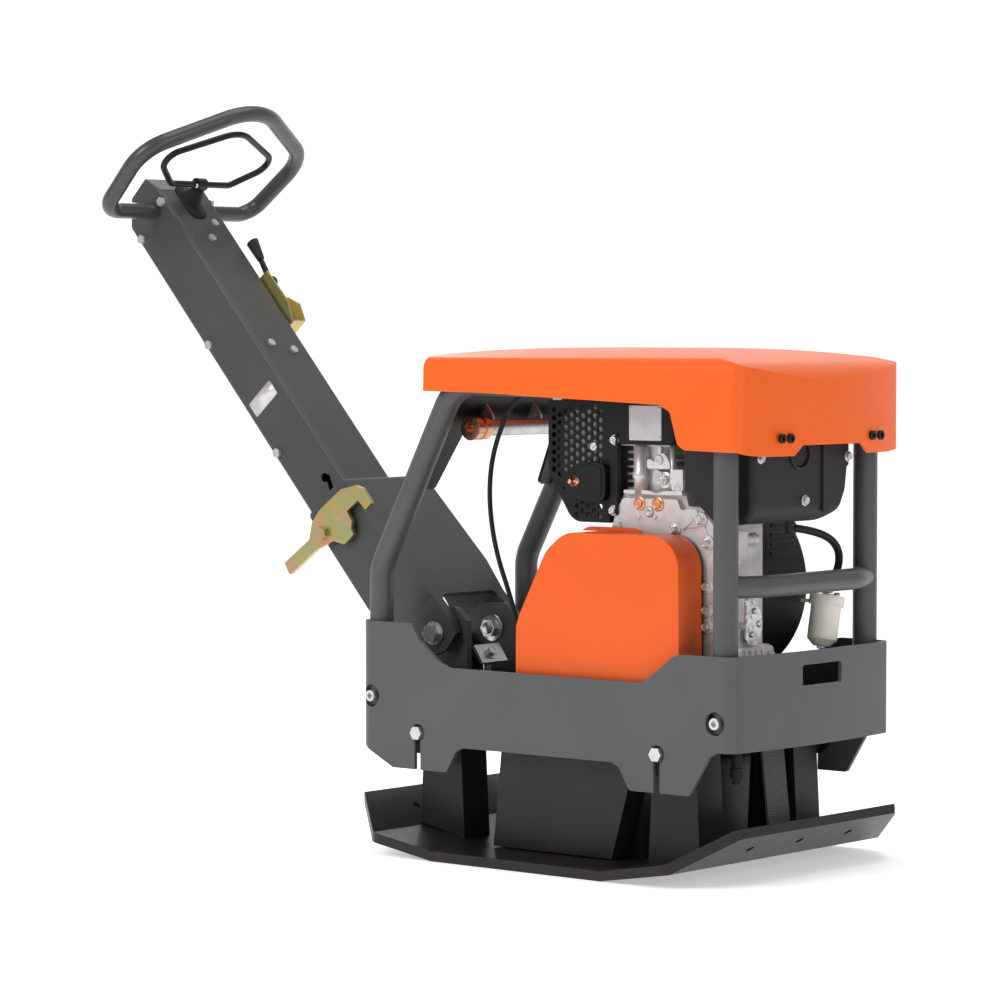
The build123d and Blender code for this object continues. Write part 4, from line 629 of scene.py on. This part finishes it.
bm = bmesh.new()
turned(
    bm, (0.148, -0.100, 0.538), RIGHT,
    ((0, 0), (0.0115, 0), (0.0115, 0.004), (0.0075, 0.005), (0.0075, 0.010), (0, 0.010)), 30,
)
hex_head(bm, (0.148, -0.110, 0.538), RIGHT, 0.0100, 0.004, 0.0085)
lever = rounded(
    [(0.128, 0.5330), (0.146, 0.5300), (0.150, 0.5440), (0.134, 0.5530), (0.128, 0.5480)], 0.004,
)
slab(bm, on_side(lever, -0.101), 0.0045, RIGHT)
finish_mesh("decompression_lever", bm, "machine", ZINC, 0.0004)

bm = bmesh.new()
for x in (0.111, 0.143):
    turned(
        bm, (x, COVER_FACE, 0.5050), RIGHT,
        ((0, 0), (0.0098, 0), (0.0098, 0.0014), (0.0086, 0.0020), (0, 0.0020)), 32,
    )
    hex_head(bm, (x, -0.1136, 0.5050), RIGHT, 0.0120, 0.0036)
finish_mesh("copper_plugs", bm, "machine", COPPER, 0.0003)

bm = bmesh.new()
turned(
    bm, (0.128, COVER_FACE, 0.4940), RIGHT,
    (
        (0, 0), (0.0072, 0), (0.0072, 0.0020), (0.0058, 0.0030), (0.0026, 0.0030), (0.0022, 0.0018),
        (0, 0.0018),
    ),
    28,
)
finish_mesh("casting_core_plug", bm, "machine", MACHINED)

# raised cast bosses round the crankcase bolts, with ribs between them
CASE_BOLTS = (
    (0.173, 0.472), (0.218, 0.486), (0.229, 0.455), (0.229, 0.395), (0.229, 0.363), (0.229, 0.340),
)
bm = bmesh.new()
for x, z in CASE_BOLTS:
    turned(
        bm, (x, COVER_FACE, z), RIGHT,
        ((0, 0), (0.0102, 0), (0.0098, 0.0026), (0.0078, 0.0034), (0, 0.0034)), 32,
    )
for (x0, z0), (x1, z1) in zip(CASE_BOLTS, CASE_BOLTS[1:]):
    run = (Vector((x1 - x0, 0, z1 - z0))).normalized()
    across = Vector((-run.z, 0, run.x)) * 0.0028
    a, b = Vector((x0, COVER_FACE, z0)) + run * 0.009, Vector((x1, COVER_FACE, z1)) - run * 0.009
    slab(bm, [a + across, b + across, b - across, a - across], 0.0018, RIGHT)
rib = rounded([(0.186, 0.470), (0.206, 0.484), (0.203, 0.490), (0.183, 0.478)], 0.003)
slab(bm, on_side(rib, COVER_FACE), 0.004, RIGHT)
box_rib = rounded([(0.190, 0.474), (0.212, 0.474), (0.212, 0.500), (0.190, 0.500)], 0.004)
slab(bm, on_side(box_rib, COVER_FACE), 0.0022, RIGHT)
finish_mesh("crankcase_ribs", bm, "machine", CASTING, 0.0009, 3)

bm = bmesh.new()
for x, z in CASE_BOLTS:
    hex_head(bm, (x, -0.1150, z), RIGHT, 0.0105, 0.0050, 0.0072, turn=x * 40)
finish_mesh("crankcase_flange_bolts", bm, "machine", ZINC, 0.0003)

# ------------------------------------------------------------------ front of the engine
bm = bmesh.new()
body_block = rounded([(-0.092, 0.433), (-0.064, 0.433), (-0.062, 0.470), (-0.092, 0.472)], 0.004)
slab(bm, on_front(body_block, ENGINE_FRONT), 0.020, FORWARD)
turned(
    bm, (0.252, -0.070, 0.458), (0.15, 1, 0.0),
    ((0, 0), (0.0075, 0), (0.0075, 0.020), (0.0092, 0.021), (0.0092, 0.028), (0.0060, 0.030), (0, 0.030)),
    28,
)
turned(
    bm, (0.252, -0.078, 0.434), (0, 0, -1),
    (
        (0, 0), (0.008, 0), (0.008, 0.010), (0.0055, 0.012), (0.0055, 0.030), (0.007, 0.031),
        (0.007, 0.040), (0, 0.040),
    ),
    24,
)
finish_mesh("injector_block", bm, "machine", CASTING, 0.0010, 3)

tube(
    "injector_lines",
    [(0.252, -0.078, 0.412), (0.256, -0.078, 0.392), (0.262, -0.072, 0.372), (0.262, -0.066, 0.352)],
    0.0028, "machine", ZINC,
)
tube(
    "injector_return", [(0.262, -0.084, 0.412), (0.266, -0.074, 0.398), (0.270, -0.064, 0.388)], 0.0020,
    "machine", ZINC,
)

bm = bmesh.new()
governor = rounded(
    [(-0.090, 0.318), (-0.066, 0.312), (-0.052, 0.340), (-0.056, 0.362), (-0.072, 0.378), (-0.090, 0.380)],
    0.007,
)
slab(bm, on_front(governor, 0.2745), 0.003, FORWARD)
for y, z in ((-0.062, 0.344), (-0.072, 0.362), (-0.078, 0.330)):
    turned(
        bm, (0.2775, y, z), FORWARD, ((0, 0), (0.0042, 0), (0.0042, 0.0022), (0.0030, 0.0030), (0, 0.0030)),
        20,
    )
finish_mesh("governor_plate", bm, "machine", SPECKLED, 0.0006)

bm = bmesh.new()
pump = rounded([(-0.094, 0.272), (-0.022, 0.272), (-0.020, 0.310), (-0.040, 0.316), (-0.094, 0.312)], 0.006)
slab(bm, on_front(pump, ENGINE_FRONT), 0.030, FORWARD)
for k in range(4):
    y = -0.086 + 0.013 * k
    slab(
        bm,
        [
            (PUMP_FRONT, y, 0.276), (PUMP_FRONT, y + 0.004, 0.276), (PUMP_FRONT, y + 0.004, 0.308),
            (PUMP_FRONT, y, 0.308),
        ],
        0.003, FORWARD,
    )
turned(
    bm, (PUMP_FRONT, -0.026, 0.296), FORWARD,
    ((0, 0), (0.0080, 0), (0.0080, 0.004), (0.0060, 0.006), (0, 0.006)), 28,
)
finish_mesh("oil_pump_housing", bm, "machine", CASTING, 0.0012, 3)

bm = bmesh.new()
turned(
    bm, (ENGINE_FRONT, -0.006, 0.302), FORWARD,
    ((0, 0), (0.0090, 0), (0.0100, 0.002), (0.0100, 0.012), (0.0080, 0.016), (0.0040, 0.018), (0, 0.018)),
    32,
)
finish_mesh("pump_cap_bolt", bm, "machine", MACHINED)

# ------------------------------------------------------------------ handle fittings
LEVER_S = 0.862
bm = bmesh.new()
base = rounded([(-0.018, -0.037), (0.018, -0.037), (0.018, 0.031), (-0.018, 0.031)], 0.016)
slab(bm, [on_pole(LEVER_S + p[1], -0.0078, p[0]) for p in base], 0.0022, POLE_OUT)
BELLOWS = [(0.0, 0.0)]
for k in range(6):
    wide = 0.0185 - 0.0017 * k
    BELLOWS += [(wide, 0.0042 * k), (wide, 0.0042 * k + 0.0014), (wide - 0.0038, 0.0042 * k + 0.0030)]
BELLOWS += [(0.0085, 0.0252), (0.0085, 0.0262), (0.0, 0.0262)]
turned(bm, on_pole(LEVER_S, -0.0056), POLE_OUT, BELLOWS, 40)
boot = finish_mesh("lever_boot", bm, None, RUBBER)
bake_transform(boot)

bm = bmesh.new()
for y in (-0.0092, 0.0092):
    turned(
        bm, on_pole(LEVER_S + 0.0005, 0.026, y), (0, math.copysign(1, y), 0),
        ((0, 0), (0.0045, 0), (0.0045, 0.0022), (0.0032, 0.0032), (0, 0.0032)), 24,
    )
finish_mesh("lever_hub_screws", bm, "control_bail", ZINC)

bm = bmesh.new()
label = rounded([(-0.084, 0.484), (-0.027, 0.484), (-0.027, 0.510), (-0.084, 0.510)], 0.003)
slab(bm, [on_pole(p[1], p[0], -0.0510) for p in label], 0.0004, RIGHT)
finish_mesh("blank_pole_label", bm, "handle", MACHINED)

# ------------------------------------------------------------------ handle stop and pivot fittings
bm = bmesh.new()
stop = [(-0.259, -0.030, 0.284), (-0.259, 0.027, 0.284), (-0.242, 0.027, 0.259), (-0.242, -0.030, 0.259)]
slab(bm, stop, 0.0045, (-0.83, 0, -0.56))
hex_head(bm, (-0.2505, -0.004, 0.2715), (0.83, 0, 0.56), 0.013, 0.006, 0.010)
turned(
    bm, (-0.2545, -0.004, 0.2680), (-0.05, 0, -1), ((0, 0), (0.0060, 0), (0.0060, 0.0300), (0, 0.0300)), 24,
)
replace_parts(finish_mesh("stop_plate", bm, "machine", ZINC, 0.0005), "handle_stop")

bm = bmesh.new()
turned(
    bm, (PIVOT.x, 0.0385, PIVOT.z), RIGHT,
    ((0.0, 0), (0.0085, 0), (0.0085, 0.0030), (0.0075, 0.0040), (0, 0.0040)), 24,
)
turned(
    bm, (PIVOT.x, 0.0499, PIVOT.z), RIGHT,
    ((0, 0), (0.0200, 0), (0.0205, 0.0006), (0.0205, 0.0016), (0.0195, 0.0022), (0, 0.0022)), 40,
)
finish_mesh("pivot_washer", bm, "machine", ZINC)

# ------------------------------------------------------------------ tank, blower and hose fittings
bm = bmesh.new()
for y, z in ((-0.120, 0.572), (-0.018, 0.512), (0.084, 0.570)):
    hex_head(bm, (TANK_FRONT, y, z), FORWARD, 0.010, 0.004, 0.0075)
finish_mesh("tank_nuts", bm, "machine", ZINC, 0.0003)

bm = bmesh.new()
band = rounded([(0.022, 0.494), (0.038, 0.494), (0.038, 0.652), (0.022, 0.652)], 0.003)
slab(bm, on_front(band, TANK_FRONT), 0.0035, FORWARD)
turned(
    bm, (TANK_FRONT, -0.030, 0.578), FORWARD,
    ((0.0195, 0), (0.0245, 0), (0.0245, 0.0030), (0.0215, 0.0042), (0.0195, 0.0030), (0.0195, 0)), 48,
)
finish_mesh("tank_band", bm, "machine", PLASTIC, 0.0010)

bm = bmesh.new()
for k in range(4):
    z = 0.432 + 0.013 * k
    slab(
        bm,
        [(0.2415, 0.012, z), (0.2415, 0.070, z), (0.2415, 0.070, z + 0.006), (0.2415, 0.012, z + 0.006)],
        0.004, FORWARD,
    )
finish_mesh("blower_inlet_ribs", bm, "machine", PLASTIC, 0.0012)

bm = bmesh.new()
turned(
    bm, (0.285, 0.0895, 0.3785), (0, -0.02, 1),
    ((0.0, 0), (0.0076, 0), (0.0076, 0.0050), (0.0060, 0.0060), (0, 0.0060)), 28,
)
turned(
    bm, (0.270, 0.078, 0.374), (0, -0.2, 1),
    ((0, 0), (0.0050, 0), (0.0050, 0.0060), (0.0040, 0.0070), (0, 0.0070)), 20,
)
turned(
    bm, (0.290, 0.104, 0.371), (0, 0.2, 1),
    ((0, 0), (0.0045, 0), (0.0045, 0.0060), (0.0036, 0.0070), (0, 0.0070)), 20,
)
finish_mesh("filter_clamps", bm, "machine", ZINC)

# ------------------------------------------------------------------ light, floor, camera
floor_mesh = bpy.data.meshes.new("floor")
floor_bm = bmesh.new()
# The wall stands nearer than a view's camera, so it hides the machine from about 180 to 260 degrees.
FLOOR_END = 4.2           # where the floor starts to turn up into the back wall
BEND = 1.6
WALL_TOP = 6.0
HALF_WIDTH = 9
UNDER_PLATE = 0.0004      # keeps the floor clear of the plate's underside
rows = [(-6, 0.0), (FLOOR_END, 0.0)]
for k in range(1, 13):
    turn = math.radians(90 * k / 12)
    rows.append((FLOOR_END + BEND * math.sin(turn), BEND * (1 - math.cos(turn))))
rows.append((FLOOR_END + BEND, WALL_TOP))
SWEEP = (Vector((-0.64, 0.77, 0)), Vector((0.77, 0.64, 0)))
previous = None
for along, height in rows:
    ends = [
        floor_bm.verts.new(SWEEP[0] * along + SWEEP[1] * side + Vector((0, 0, height - UNDER_PLATE)))
        for side in (-HALF_WIDTH, HALF_WIDTH)
    ]
    if previous:
        floor_bm.faces.new((previous[0], previous[1], ends[1], ends[0]))
    previous = ends
floor_bm.to_mesh(floor_mesh)
floor_bm.free()
for face in floor_mesh.polygons:
    face.use_smooth = True
floor = bpy.data.objects.new("floor", floor_mesh)
bpy.context.scene.collection.objects.link(floor)
floor_look, floor_shader = material("Pale floor", (0.80, 0.80, 0.80), 0.7)
vary(floor_look, floor_shader, (0.93, 0.93, 0.93), 0.006, 2.0)
floor_shader.inputs["Emission Color"].default_value = (1, 1, 1, 1)
floor_shader.inputs["Emission Strength"].default_value = 0.42
floor_mesh.materials.append(floor_look)


def area(name, spot, aim, size, power, size_y=None):
    light = bpy.data.lights.new(name, "AREA")
    light.energy = power
    light.shape = "RECTANGLE"
    light.size = size
    light.size_y = size_y or size
    lamp = bpy.data.objects.new(name, light)
    lamp.location = spot
    lamp.rotation_euler = (Vector(aim) - Vector(spot)).to_track_quat("-Z", "Y").to_euler()
    bpy.context.scene.collection.objects.link(lamp)
    return lamp


area("key", (-0.9, -3.2, 2.5), (0, 0, 0.45), 1.6, 52)
area("front strip", (3.6, -1.0, 1.7), (0, 0, 0.5), 1.0, 17, 1.8)
area("top", (0.2, 0.3, 3.2), (0, 0, 0.5), 2.2, 34)
area("rim", (-2.6, 1.6, 1.8), (0, 0, 0.6), 1.2, 16)

world = bpy.data.worlds.new("Studio")
world.use_nodes = True
world.node_tree.nodes["Background"].inputs["Color"].default_value = (1, 1, 1, 1)
world.node_tree.nodes["Background"].inputs["Strength"].default_value = 0.42
bpy.context.scene.world = world

AZIMUTH = math.radians(39.98)
ELEVATION = math.radians(2.60)
cam = bpy.data.cameras.new("camera")
cam.lens = 137.15
cam.sensor_width = 36
cam.clip_end = 60
camera = bpy.data.objects.new("camera", cam)
bpy.context.scene.collection.objects.link(camera)
camera.location = (3.335, -4.257, 0.748)
back = Vector((
    math.sin(AZIMUTH) * math.cos(ELEVATION), -math.cos(AZIMUTH) * math.cos(ELEVATION), math.sin(ELEVATION),
))
camera.rotation_mode = "QUATERNION"
camera.rotation_quaternion = (-back).to_track_quat("-Z", "Y")
bpy.context.scene.camera = camera
bpy.context.scene.view_settings.view_transform = "Standard"
